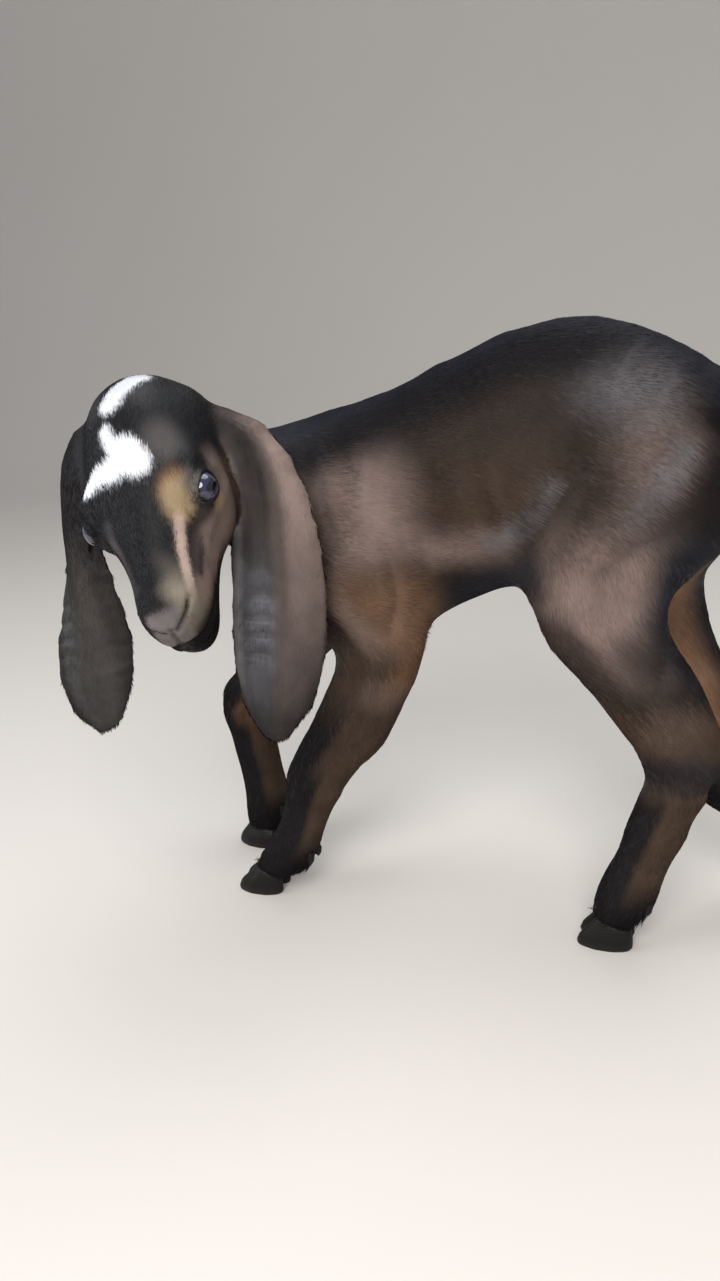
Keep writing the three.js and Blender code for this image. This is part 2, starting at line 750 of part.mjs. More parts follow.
for (const [name, leg] of Object.entries(LEGS)) {
  const knee = planeAt(at(0, 0, KNEE_LEVEL[name]), at(0, 0, -1));
  const root = legPlanes(name).map(turned);

  const upper = legPart(leg.middle, leg, CELL.upperLeg, cutBy(...root, knee));
  add(`leg_${name}_upper`, upper, MATERIALS.brown_coat);

  const ends = cutBy(root[1], root[2], turned(knee), turned(coronetPlane(leg)));
  const dewclaws = [1, -1].map((inner) => solidFrom(dewclawGeometry(leg, inner, GAP)));
  const lower = legPart(leg.lower, leg, CELL.lowerLeg, (solid) =>
    dewclaws.reduce((rest, dewclaw) => rest.subtract(dewclaw), ends(solid)),
  );
  add(`leg_${name}_lower`, lower, MATERIALS.black_coat);
  for (const inner of [1, -1]) {
    const where = inner === leg.side ? "inner" : "outer";
    add(`hoof_${name}_${where}`, clawSolid(leg, inner), MATERIALS.horn);
    add(`dewclaw_${name}_${where}`, solidFrom(dewclawGeometry(leg, inner, 0)), MATERIALS.horn);
  }
}

// The part's origin is the middle of its bounding box, on the floor.
const bounds = new THREE.Box3().setFromObject(kid);
const middle = bounds.getCenter(new THREE.Vector3());
for (const mesh of kid.children) mesh.geometry.translate(-middle.x, -middle.y, -bounds.min.z);

export default kid;
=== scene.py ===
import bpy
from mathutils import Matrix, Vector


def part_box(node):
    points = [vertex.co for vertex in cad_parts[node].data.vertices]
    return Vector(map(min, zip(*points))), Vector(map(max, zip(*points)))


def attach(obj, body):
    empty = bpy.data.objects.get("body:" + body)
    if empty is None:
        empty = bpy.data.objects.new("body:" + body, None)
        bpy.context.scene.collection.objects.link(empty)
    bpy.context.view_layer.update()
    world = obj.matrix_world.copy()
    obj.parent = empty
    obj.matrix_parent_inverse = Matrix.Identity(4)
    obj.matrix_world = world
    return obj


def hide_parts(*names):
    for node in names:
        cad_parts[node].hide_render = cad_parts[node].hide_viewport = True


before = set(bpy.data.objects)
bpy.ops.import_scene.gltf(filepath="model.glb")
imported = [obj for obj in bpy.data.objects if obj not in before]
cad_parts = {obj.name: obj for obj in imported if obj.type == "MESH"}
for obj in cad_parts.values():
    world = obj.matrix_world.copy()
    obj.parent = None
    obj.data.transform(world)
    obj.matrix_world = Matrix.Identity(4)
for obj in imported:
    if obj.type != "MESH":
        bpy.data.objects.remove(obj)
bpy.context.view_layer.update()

import math

import bpy
import numpy as np
from mathutils import Matrix, Vector
from mathutils.bvhtree import BVHTree

# ------------------------------------------------------------
# Skin: one hide over the whole kid, from the lips to the coronets and out to the ear tips.
# It is drawn over the solids of the flesh, pulled in by the depth of the coat, and then modelled
# as a sculptor would: lids, nostrils, lips, cheeks, the folds of the ears and the tendons of the legs.
# ------------------------------------------------------------
LEG_NAMES = ["fore_left", "fore_right", "hind_left", "hind_right"]
LEG_PARTS = [f"leg_{leg}_{part}" for leg in LEG_NAMES for part in ("upper", "lower")]
FLESH = ["head", "neck", "trunk", "tail", "ear_left", "ear_right"] + LEG_PARTS
HIDE_GRAIN = 0.0025  # how fine the hide is before its head is refined
EAR_PADDING = 0.0014  # the thin ears are thickened for the drawing-over, and thinned again after it


def use(*pieces):
    """Selects some pieces and nothing else. The first of them becomes the active one."""
    bpy.ops.object.select_all(action="DESELECT")
    for piece in pieces:
        piece.select_set(True)
    bpy.context.view_layer.objects.active = pieces[0]


def shape_with(piece, kind, **settings):
    modifier = piece.modifiers.new(kind.title(), kind)
    for name, value in settings.items():
        setattr(modifier, name, value)
    use(piece)
    bpy.ops.object.modifier_apply(modifier=modifier.name)


def new_piece(name, data):
    piece = bpy.data.objects.new(name, data)
    bpy.context.scene.collection.objects.link(piece)
    return piece


def merged_copy(node):
    """A copy of a solid, with the corners of its facets joined."""
    piece = new_piece("cast_" + node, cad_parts[node].data.copy())
    use(piece)
    bpy.ops.object.mode_set(mode="EDIT")
    bpy.ops.mesh.select_all(action="SELECT")
    bpy.ops.mesh.remove_doubles(threshold=1e-5)
    bpy.ops.object.mode_set(mode="OBJECT")
    return piece


casts = []
for node in FLESH + ["eye_left", "eye_right"]:
    cast = merged_copy(node)
    thicker = EAR_PADDING if node.startswith("ear") else 0.0003
    shape_with(cast, "DISPLACE", direction="NORMAL", strength=thicker, mid_level=0)
    casts.append(cast)
use(*casts)
bpy.ops.object.join()
skin = casts[0]
skin.name = skin.data.name = "skin"
shape_with(skin, "REMESH", mode="VOXEL", voxel_size=HIDE_GRAIN, use_smooth_shade=True)


def read(items, what, width=3, kind=np.float32):
    """One value of every item of a mesh, as rows of numbers."""
    values = np.empty(len(items) * width, kind)
    items.foreach_get(what, values)
    values = values.reshape(-1, width)
    return values.astype(float) if kind is np.float32 else values


def write_points(mesh, points):
    mesh.vertices.foreach_set("co", points.astype(np.float32).ravel())
    mesh.update()


def note(mesh, name, kind, field, values):
    """Keeps values on a mesh's points under a name that a finish can read."""
    mesh.attributes.new(name, kind, "POINT").data.foreach_set(field, values.astype(np.float32).ravel())


class Hide:
    """The hide's points, with which points touch, for modelling it."""

    def __init__(self, piece):
        self.mesh = piece.data
        self.reread()

    def reread(self):
        self.points = read(self.mesh.vertices, "co")
        self.a, self.b = read(self.mesh.edges, "vertices", 2, np.int32).T
        self.count = len(self.points)
        self.valence = np.bincount(self.a, minlength=self.count) + np.bincount(self.b, minlength=self.count)

    def write(self):
        write_points(self.mesh, self.points)

    def normals(self):
        self.write()
        return read(self.mesh.vertex_normals, "vector")

    def neighbours(self, values):
        flat = values.reshape(self.count, -1)
        mean = np.empty_like(flat)
        for c in range(flat.shape[1]):
            mean[:, c] = np.bincount(self.a, flat[self.b, c], self.count)
            mean[:, c] += np.bincount(self.b, flat[self.a, c], self.count)
        return (mean / np.maximum(self.valence, 1)[:, None]).reshape(values.shape)

    def even_out(self, values, times, share=0.5):
        for _ in range(times):
            values = values + (self.neighbours(values) - values) * share
        return values


hide = Hide(skin)

# Which solid of flesh each point of the hide lies on, and how far outside it.
corners, triangles, owner = [], [], []
for index, node in enumerate(FLESH):
    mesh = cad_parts[node].data
    base = len(corners)
    corners += [v.co.copy() for v in mesh.vertices]
    triangles += [[base + v for v in p.vertices] for p in mesh.polygons]
    owner += [index] * len(mesh.polygons)
owner = np.array(owner)
solids = BVHTree.FromPolygons(corners, triangles)


def solid_under(points):
    part, height = np.empty(len(points), int), np.empty(len(points))
    for i, point in enumerate(points):
        near, normal, face, _ = solids.find_nearest(Vector(point))
        part[i] = owner[face]
        height[i] = (Vector(point) - near).dot(normal)
    return part, height


part_of, height = solid_under(hide.points)
is_part = {node: part_of == index for index, node in enumerate(FLESH)}
on_ear = is_part["ear_left"] | is_part["ear_right"]


def by_part(**values):
    """A value for each point: the one named for its part's kind."""
    kinds = [n.split("_")[0] if not n.startswith("leg") else n.rsplit("_", 1)[1] for n in FLESH]
    return np.array([values[kind] for kind in kinds], float)[part_of]


# The head's own frame: along the nose, out of the left cheek and up through the poll, in millimetres.
POLL = Vector((-0.17723, -0.06215, 0.401))
TURN = [(297, "Z"), (32, "Y"), (22, "X")]
head_frame = Matrix.Translation(POLL)
for angle, axis in TURN:
    head_frame = head_frame @ Matrix.Rotation(math.radians(angle), 4, axis)
head_axes = np.array(head_frame.to_3x3())
EYE = (69, 31.5, -25)


def in_head(points):
    return (points - np.array(POLL)) @ head_axes * 1000


def from_head(nose, left, up):
    return head_frame @ Vector((nose / 1000, left / 1000, up / 1000))


# The kid's own millimetres: forward of a mark between the forelegs, right of the spine, up from the floor.
KID_MARK = np.array([-14.23, 79.85, 0.0])
KID_WAYS = (-1, 1, 1)


def in_kid(points):
    return (points * 1000 - KID_MARK) * KID_WAYS


def spaced(path, steps):
    """Points evenly spaced along a path, and how far along it each of them lies."""
    path = np.array(path, float)
    length = np.r_[0, np.cumsum(np.linalg.norm(np.diff(path, axis=0), axis=1))]
    even = np.linspace(0, length[-1], steps)
    return np.stack([np.interp(even, length, path[:, c]) for c in range(3)], 1), even


# The ears' own lines, from the root to the tip, to measure along and across them
EAR_ROOTS = {"ear_left": (0, 24, -16), "ear_right": (0, -24, -12)}  # in the head's frame
EAR_SPINES = {  # the rest of each line, in the kid's
    "ear_left": [
        (111, -114, 391), (97, -108, 370), (91, -107, 334),
        (91, -110, 286), (93, -117, 234), (96, -126, 178),
    ],
    "ear_right": [
        (199, -147, 391), (208, -155, 370), (208, -166, 330),
        (201, -178, 284), (191, -188, 241), (177, -195, 208),
    ],
}
EAR_LOOKS = {"ear_left": np.array([-0.4, -0.9, 0.0]), "ear_right": np.array([0.1, -1.0, 0.0])}
EAR_WIDTHS = ([0, 0.12, 0.25, 0.45, 0.65, 0.82, 0.94, 1], [15, 18, 23, 29, 32, 30, 20, 8])


def unit(rows):
    """The same directions, each of length one."""
    return rows / np.maximum(np.linalg.norm(rows, axis=-1), 1e-6)[..., None]


def ear_place(points, ear):
    """How far along the ear each point lies, from 0 to 1, how far across it, from -1 to 1, and its lines."""
    first = in_kid(np.array([from_head(*EAR_ROOTS[ear])]))[0]
    dense, even = spaced([first, *EAR_SPINES[ear]], 90)
    for _ in range(6):
        dense[1:-1] += (dense[:-2] + dense[2:] - 2 * dense[1:-1]) * 0.25
    tangent = unit(np.gradient(dense, axis=0))
    kid = in_kid(points)
    near = np.argmin(np.linalg.norm(kid[:, None] - dense[None], axis=2), axis=1)
    looks = EAR_LOOKS[ear]
    across = np.cross(tangent[near], looks)
    across = unit(across * np.sign(-across[:, :1]))
    along = even[near] / even[-1]
    wide = ((kid - dense[near]) * across).sum(1) / np.interp(along, *EAR_WIDTHS)
    return along, wide, tangent[near], across, dense[near], looks


# The facets of the solids are worn down, least on the thin ears.
wear = by_part(head=0.32, neck=0.6, trunk=0.7, tail=0.4, ear=0.22, upper=0.6, lower=0.42)
for ear in ("ear_left", "ear_right"):
    along = ear_place(hide.points[is_part[ear]], ear)[0]
    wear[is_part[ear]] += 0.35 * (1 - np.clip((along - 0.1) / 0.12, 0, 1))
wear *= 1 - 0.75 * np.clip((58 - in_kid(hide.points)[:, 2]) / 20, 0, 1)
wear = hide.even_out(wear, 8)[:, None]
WEAR_TIMES = 36
for _ in range(WEAR_TIMES):
    hide.points += (hide.neighbours(hide.points) - hide.points) * wear

# Wearing draws the thin rims of the ears in, so they are spread back out to the width of the solids.
for ear in ("ear_left", "ear_right"):
    solid = read(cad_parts[ear].data.vertices, "co")
    reach = []
    for points in (solid, hide.points[is_part[ear]]):
        along, wide = ear_place(points, ear)[:2]
        steps = np.linspace(0.2, 0.94, 16)
        band = [np.abs(along - step) < 0.05 for step in steps]
        reach.append([[f(wide[b]) if b.any() else f(0) for b in band] for f in (np.min, np.max)])
    ours = hide.points[is_part[ear]]
    along, wide, tangent, across, centre, looks = ear_place(ours, ear)
    front, rear = [np.interp(along, steps, reach[0][i]) for i in (0, 1)]
    front_now, rear_now = [np.interp(along, steps, reach[1][i]) for i in (0, 1)]
    spread = np.where(wide < 0, front / np.minimum(front_now, -0.2), rear / np.maximum(rear_now, 0.2))
    blade = np.clip((along - 0.12) / 0.15, 0, 1) * np.clip((1.02 - along) / 0.1, 0, 1)
    spread = 1 + (np.clip(spread, 1, 1.35) - 1) * blade
    offset = in_kid(ours) - centre
    sideways = (offset * across).sum(1)[:, None] * across
    stretched = offset + sideways * (spread - 1)[:, None]
    stretched += tangent * (2.5 * np.clip((along - 0.86) / 0.14, 0, 1))[:, None]
    hide.points[is_part[ear]] = ((centre + stretched) * KID_WAYS + KID_MARK) / 1000

# The hide lies inside the solids by the depth of the coat.
coat_depth = by_part(head=0.5, neck=1.3, trunk=1.5, tail=1.6, ear=0.35, upper=1.2, lower=0.7) / 1000
coat_depth = hide.even_out(coat_depth, 12)
coat_depth *= 1 - 0.9 * np.clip((46 - in_kid(hide.points)[:, 2]) / 16, 0, 1)
part_of, height = solid_under(hide.points)
height = hide.even_out(height, 60)
height[on_ear] = np.clip(height[on_ear], EAR_PADDING * 0.5, EAR_PADDING * 1.3)
hide.points -= hide.normals() * hide.even_out(height + coat_depth, 3)[:, None]
hide.write()


def refine(chosen):
    """Cuts the hide finer where it is chosen."""
    use(skin)
    bpy.ops.object.mode_set(mode="EDIT")
    bpy.ops.mesh.select_all(action="DESELECT")
    bpy.ops.object.mode_set(mode="OBJECT")
    skin.data.vertices.foreach_set("select", chosen)
    bpy.ops.object.mode_set(mode="EDIT")
    bpy.ops.mesh.select_mode(type="VERT")
    bpy.ops.mesh.subdivide(number_cuts=1, smoothness=0)
    bpy.ops.object.mode_set(mode="OBJECT")
    hide.reread()


# Head and ears are refined, and the lids, nostrils and lips once more.
place = in_head(hide.points)
on_head = is_part["head"] & (place[:, 0] > -5)
for ear in ("ear_left", "ear_right"):
    along = ear_place(hide.points[is_part[ear]], ear)[0]
    on_head[is_part[ear]] = along > 0.12
refine(on_head)
place = in_head(hide.points)
near_eye = np.hypot((place[:, 0] - EYE[0]) / 24, (place[:, 2] - EYE[2]) / 19) < 1
near_eye &= np.abs(place[:, 1]) > 20
muzzle = (place[:, 0] > 112) & (place[:, 0] < 160)
muzzle &= (np.abs(place[:, 1]) < 30) & (np.abs(place[:, 2] + 50) < 34)
refine(near_eye | muzzle)
part_of, _ = solid_under(hide.points)
is_part = {node: part_of == index for index, node in enumerate(FLESH)}
place = in_head(hide.points)


def ease(low, high, x):
    t = np.clip((x - low) / (high - low), 0, 1)
    return t * t * (3 - 2 * t)


def swell(centre, radii, amount):
    """Raises the head where an ellipsoid lies, on both sides, in the head's millimetres."""
    for side in (1, -1) if centre[1] else (1,):
        middle = np.array(centre) * (1, side, 1)
        far = np.linalg.norm((in_head(hide.points) - middle) / radii, axis=1)
        hide.points += hide.normals() * (amount / 1000 * (1 - ease(0, 1, far)))[:, None]


STATIONS = 24  # points along a groove or a crease


def trail(path, side):
    """Points evenly along a path of the head, laid on the hide."""
    dense, _ = spaced(np.array(path, float) * (1, side, 1), STATIONS)
    faces = [face.vertices[:] for face in skin.data.polygons]
    surface = BVHTree.FromPolygons([Vector(point) for point in hide.points], faces)
    return in_head(np.array([surface.find_nearest(from_head(*p))[0] for p in dense]))


def groove(path, depth, width, both=True):
    """Presses a groove into the head along a path, or raises a ridge where the depth is negative."""
    for side in (1, -1) if both else (1,):
        line = trail(path, side)
        place = in_head(hide.points)
        close = np.flatnonzero(np.linalg.norm(place - line.mean(0), axis=1) < 90)
        away = np.linalg.norm(place[close, None] - line[None], axis=2).min(1)
        press = np.zeros(hide.count)
        press[close] = np.exp(-((away / width) ** 2))
        hide.points -= hide.normals() * (press * depth / 1000)[:, None]


def crease(path, depth, width, sides=(1, -1)):
    """Presses a crease into the body along a path in the kid's millimetres, on one side or both."""
    for side in sides:
        line, even = spaced(np.array(path, float) * (1, side, 1), STATIONS)
        kid = in_kid(hide.points)
        close = np.flatnonzero(np.linalg.norm(kid - line.mean(0), axis=1) < even[-1] / 2 + 3 * width + 20)
        gap = kid[close, None] - line[None]
        away = np.linalg.norm(gap * (1, 0.35, 1), axis=2)
        nearest = away.argmin(1)
        fade = np.sin(np.pi * (nearest + 1) / (STATIONS + 1)) ** 0.5
        press = np.zeros(hide.count)
        press[close] = np.exp(-((away.min(1) / width) ** 2)) * fade
        hide.points -= hide.normals() * (press * depth / 1000)[:, None]


# Shoulder: the crease before the blade, with the muscle full on both sides of it
crease([(84, -46, 358), (78, -54, 328), (73, -60, 296)], 2.0, 8)
crease([(94, -46, 348), (90, -54, 318)], -0.8, 9)
crease([(66, -54, 350), (62, -60, 318)], -2.0, 9)

# Flank and thigh: the fold that runs down to the stifle, and a lesser one over the thigh
crease([(-94, -58, 350), (-78, -60, 314), (-56, -56, 281)], 3.4, 9)
crease([(-70, -60, 338), (-50, -58, 304)], -1.8, 8)
crease([(-100, -66, 280), (-124, -64, 297), (-150, -60, 312)], 1.8, 9)
crease([(-108, -66, 300), (-136, -62, 322)], -1.2, 12)

# Elbow, ribs and croup
crease([(35, -60, 292), (32, -62, 262), (36, -64, 238)], 2.2, 5, sides=(1,))
crease([(20, -58, 296), (16, -56, 262)], -1.5, 7, sides=(1,))
crease([(-10, -58, 352), (-28, -60, 300)], 1.0, 8)
crease([(-34, -58, 352), (-48, -60, 305)], 0.8, 7)
crease([(-140, -46, 398), (-116, -46, 408)], -1.8, 16)

# Near legs: behind the thigh, before the hock's point, and beside the tendons of fore and hind shank
crease([(-150, -64, 250), (-146, -64, 205)], 2.0, 7, sides=(1,))
crease([(-150, -58, 168), (-168, -54, 158)], 1.4, 6, sides=(1,))
crease([(128, -58, 112), (150, -50, 60)], 1.0, 4, sides=(1,))
crease([(-146, -58, 120), (-122, -50, 62)], 1.0, 4, sides=(1,))


def ear_wrinkles(along, wide):
    """The ups and downs of the short wrinkles that run across an ear."""
    return np.sin(along * 104 + 1.4 * np.sin(along * 27) + wide * 1.5)


# Ears: a rolled rim, two long folds, and short wrinkles across the front of the lower half
for ear in ("ear_left", "ear_right"):
    here = part_of == FLESH.index(ear)
    along, wide, _, _, _, looks = ear_place(hide.points[here], ear)
    normals = hide.normals()[here]
    outer = ease(-0.1, 0.3, (normals * (-1, 1, 1)) @ looks) * 2 - 1
    body = ease(0.14, 0.26, along) * ease(1.0, 0.86, along)
    fold = -1.9 * np.exp(-(((wide + 0.22 + 0.1 * along) / 0.16) ** 2)) * body
    fold += 1.5 * np.exp(-(((wide - 0.3) / 0.26) ** 2)) * body
    fold += 1.0 * np.exp(-(((wide + 0.55) / 0.16) ** 2)) * body
    ripple = ear_wrinkles(along, wide)
    creased = ease(0.52, 0.6, along) * ease(0.82, 0.76, along)
    creased *= ease(-0.12, -0.34, wide) * ease(-0.98, -0.84, wide)
    fold += (1.3 if ear == "ear_left" else 0.3) * ripple * creased * ease(-0.92, -0.7, wide)
    fold += 0.3 * np.sin(along * 19 + wide * 4) * body
    hide.points[here] += normals * (fold * outer * 0.9 / 1000)[:, None]
hide.write()

# Forehead, brow, cheek and muzzle
swell((62, 35, -8), (20, 12, 12), 1.6)
swell((84, 25, -36), (14, 10, 10), -1.6)
swell((44, 38, -22), (12, 10, 12), -1.2)
groove([(88, 30, -44), (66, 37, -47), (40, 38, -50)], -1.0, 5)
groove([(108, 20, -52), (92, 26, -58), (74, 31, -66)], 0.9, 6)
swell((138, 10, -40), (12, 7, 8), 1.2)
groove([(149, 1, -47), (149, 1, -60)], 0.9, 1.3, both=False)

# Nostrils: comma-shaped slits at the sides of the nose pad
NOSTRIL = [(149, 4.5, -49), (146, 8.5, -47), (141, 12, -45), (135, 14, -43)]
groove(NOSTRIL, 3.2, 1.7)
groove([(149, 5, -45), (143, 12, -41), (134, 16, -39)], -0.9, 2.4)

# Mouth: the line of the lips, with the lower lip and chin under it
LIPS = [(150, 0, -62), (146, 7, -63.5), (136, 13, -66), (122, 18, -67), (106, 21, -65)]
groove(LIPS, 1.9, 1.3)
groove([(146, 5, -69), (134, 12, -71), (120, 17, -72)], -0.8, 2.6)

# Eye sockets: the hide dips behind the eyeball inside the opening, and a lid rolls over its rim.
EYEBALL = 12.0
OPENING = (0.86, 0.60)  # half the opening, in radians along the lids and across them
LOOK = np.array([0.36, 0.90, 0.24])
LID_LINE = np.array([0.93, 0, 0.10])


def eye_ways(side):
    """The way an eye looks, and the way its lids run."""
    look = LOOK * (1, side, 1)
    look /= np.linalg.norm(look)
    along = LID_LINE - look * np.dot(LID_LINE, look)
    return look, along / np.linalg.norm(along)


for side in (1, -1):
    look, along = eye_ways(side)
    across = np.cross(along, look) * side
    place = in_head(hide.points)
    offset = place - np.array(EYE) * (1, side, 1)
    far = np.linalg.norm(offset, axis=1)
    ray = offset / far[:, None]
    facing = ray @ look
    swing = np.arccos(np.clip(facing, -1, 1))
    flat = unit(np.stack([ray @ along, ray @ across], 1))
    upper = np.where(flat[:, 1] > 0, 1.0, 0.92)
    opening = np.hypot(swing * flat[:, 0] / OPENING[0], swing * flat[:, 1] / OPENING[1] / upper)
    inside = 1 - ease(0.93, 1.05, opening)
    lid = ease(0.98, 1.1, opening) * (1 - ease(1.25, 1.9, opening))
    crease = np.exp(-(((opening - 1.55) / 0.16) ** 2)) * ease(-0.3, 0.3, flat[:, 1])
    close = (far < 30) & (facing > 0.1) & (opening < 2.4)
    lid_height = EYEBALL + 1.5 + 0.4 * ease(-0.2, 0.6, flat[:, 1])
    height_now = np.where(close, far, 0)
    wanted = height_now + (lid_height - height_now) * lid * 0.85
    wanted -= crease * 0.9
    wanted = wanted + (EYEBALL - 1.8 - wanted) * inside
    move = np.where(close, wanted - far, 0)
    hide.points += (ray * (move / 1000)[:, None]) @ head_axes.T
hide.write()

# ------------------------------------------------------------
# Finish of the hide and coat: short, close, glossy hair, near black on the face, back and feet,
# brown on the sides, with tan at the elbows and thighs, and a white star on the forehead.
# ------------------------------------------------------------
def paint(red, green, blue):
    shares = np.array([red, green, blue]) / 255
    return np.where(shares <= 0.04045, shares / 12.92, ((shares + 0.055) / 1.055) ** 2.4)


BLACK = paint(22, 20, 22)
BLUE_BLACK = paint(30, 32, 40)
DARK_BROWN = paint(42, 34, 29)
BROWN = paint(66, 52, 42)
TAN = paint(100, 74, 55)
OCHRE = paint(150, 130, 100)
# Rose is partly the coat's own tone and partly painted sheen; silver is painted sheen.
ROSE_SHEEN = paint(128, 110, 103)
SILVER_SHEEN = paint(102, 100, 104)
PALE = paint(176, 154, 142)
WHITE = paint(226, 228, 234)
GREY_TAN = paint(132, 122, 108)
NOSE_SKIN = paint(98, 91, 90)


def away_from(place, path, used=(0, 1, 2)):
    """The distance of each place from a path, along the used axes only."""
    place, path = place[:, list(used)], np.array(path, float)[:, list(used)]
    best = np.full(len(place), 1e9)
    for a, b in zip(path[:-1], path[1:]):
        t = np.clip(((place - a) @ (b - a)) / max((b - a) @ (b - a), 1e-9), 0, 1)
        best = np.minimum(best, np.linalg.norm(place - a - t[:, None] * (b - a), axis=1))
    return best


def spot(place, centre, radii, edge=0.2):
    far = np.linalg.norm((place - np.array(centre)) / radii, axis=1)
    return 1 - ease(1 - edge, 1 + edge, far)


def lay(colour, *coats):
    """Lays colours over one another, each through its own mask."""
    for over, mask in coats:
        colour = colour + (over - colour) * mask[:, None]
    return colour


# Leg lines, as [forward, up], to tell the front of each leg from its back
LEG_LINES = {
    "fore_left": [(84, 306), (84, 262), (45, 218), (73, 163), (112, 110), (125, 76), (137, 46), (158, 24)],
    "fore_right": [(112, 306), (120, 266), (124, 220), (170, 178), (212, 134), (206, 88), (199, 44), (204, 24)],
    "hind_left": [
        (-132, 364), (-112, 300), (-99, 250), (-137, 197),
        (-158, 147), (-141, 96), (-122, 44), (-112, 24),
    ],
    "hind_right": [
        (-138, 362), (-130, 300), (-122, 246), (-152, 172),
        (-174, 107), (-210, 76), (-243, 46), (-243, 24),
    ],
}
LEG_OUT = {"fore_left": -42, "fore_right": 38, "hind_left": -42, "hind_right": 42}


def head_colour(head):
    x, y, z = head.T
    both = np.stack([x, np.abs(y), z], 1)
    # Near black all over, dark brown low on the head, and a painted sheen on the crown.
    colour = lay(
        np.tile(paint(20, 21, 24), (len(head), 1)),
        (DARK_BROWN, ease(-30, -62, z) * 0.8),
        (DARK_BROWN, ease(20, -25, x) * ease(8, -20, z)),
        (SILVER_SHEEN, spot(both, (14, 14, 12), (13, 8, 14), 0.8) * 0.22),
    )

    # A painted sheen on the near side of the crown, then brown and rose on the near cheek, the rose partly
    # painted sheen. The far cheek is left dark as painted shade.
    near = ease(-6, 4, y)
    lit_side = 0.04 + 0.96 * near
    colour = lay(
        colour,
        (paint(88, 84, 82), spot(head, (50, 24, 2), (13, 9, 12), 0.8) * 0.75),
        (BROWN, spot(both, (60, 34, -54), (40, 22, 20), 0.5) * lit_side),
        (ROSE_SHEEN, spot(both, (80, 31, -52), (34, 16, 17), 0.6) * lit_side * 0.9),
        (paint(132, 112, 102), spot(both, (120, 21, -53), (14, 12, 8), 0.6) * lit_side * 0.9),
        (ROSE_SHEEN, spot(both, (46, 40, -38), (13, 14, 15), 0.6) * near * 0.75),
    )

    # Tan before and behind the near eye, the pale stripe down from it, and the tan side of the muzzle. The
    # marks by the eye and the stripe fade on the far side as painted shade, and a painted highlight runs along
    # the far side of the bridge.
    stripe = away_from(both, [(92, 21, -22), (101, 19, -28), (110, 18, -33), (118, 18, -37), (132, 18, -43)])
    snout = ease(112, 137, x + 0.25 * z + 12) * ease(-1, 15, y + 2 * np.sin(x * 0.3)) * ease(-64, -52, z)
    ridge = away_from(head, [(84, -20, -15), (92, -22, -21), (108, -18, -28), (124, -14, -33)])
    colour = lay(
        colour,
        (TAN, spot(both, (80, 25, -13), (17, 10.5, 12), 0.35) * near),
        (OCHRE, spot(both, (85, 25, -15), (14, 8.5, 11), 0.5) * near),
        (paint(104, 98, 94), spot(both, (79, 36, -16), (9, 6, 11), 0.6) * near * 0.85),
        (OCHRE, spot(both, (66, 36, -43), (8, 8, 6), 0.6) * near * 0.9),
        (PALE, (1 - ease(2.2, 4.4, stripe)) * (0.1 + 0.9 * near)),
        (GREY_TAN, snout * (1 - ease(17, 25, y)) * 0.9),
        (SILVER_SHEEN, (1 - ease(0.5, 5.5, ridge)) * 0.26),
    )

    # Dark lines: painted shade along the tear trough, the chin, the lids, and painted shade in the nose pad's
    # groove, in the nostrils and along the line of the lips
    tear_shade = away_from(both, [(85, 35, -27), (92, 29, -39), (103, 23, -44), (114, 21, -47)])
    rim = np.linalg.norm((both - EYE) / (1, 1, 0.9), axis=1)
    pad = ease(138, 141, x) * (1 - ease(9, 11.5, both[:, 1])) * ease(-62, -60, z) * (1 - ease(-39, -36, z))
    colour = lay(
        colour,
        (paint(52, 44, 52), (1 - ease(1.8, 4.2, tear_shade)) * 0.85),
        (BLACK * 0.9, ease(-62, -67, z) * ease(60, 100, x)),
        (BLACK * 0.7, 1 - ease(13.3, 15.2, rim + 0.6 * ease(-22, -32, z))),
        (NOSE_SKIN, pad),
        (NOSE_SKIN * 0.35, pad * (1 - ease(0.4, 1.6, np.abs(y - 0.5))) * ease(-44, -48, z)),
        (BLACK * 0.3, (1 - ease(1.0, 2.4, away_from(both, NOSTRIL))) * 0.95),
        (BLACK * 0.4, (1 - ease(0.6, 2.2, away_from(both, LIPS))) * 0.85),
    )

    # The white star, of four broad strokes, and the white stripe over the crown
    strokes = (
        ([(40, -6, 0), (50, -4, 0)], 4.2),
        ([(56, 4, 0), (61, 7, 0)], 9.6),
        ([(62, 0, 0), (61, -10, 0)], 6.4),
        ([(61, -10, 0), (58, -20, 0), (59, -30, 0)], 5.2),
    )
    star = np.min([away_from(head, path, (0, 1)) - half for path, half in strokes], axis=0)
    crown = away_from(head, [(-3, 13, 0), (10, 5, 0), (22, -1, 0)], (0, 1)) - 7.4
    return lay(
        colour,
        (WHITE, (1 - ease(-1.2, 1.2, star)) * ease(-18, -14, z)),
        (WHITE * 0.92, (1 - ease(-1.4, 1.4, crown)) * ease(-6, 0, z)),
    )


def along_line(place, path, width, blur):
    return 1 - ease(width - blur, width + blur, away_from(place, path, (0, 2)))


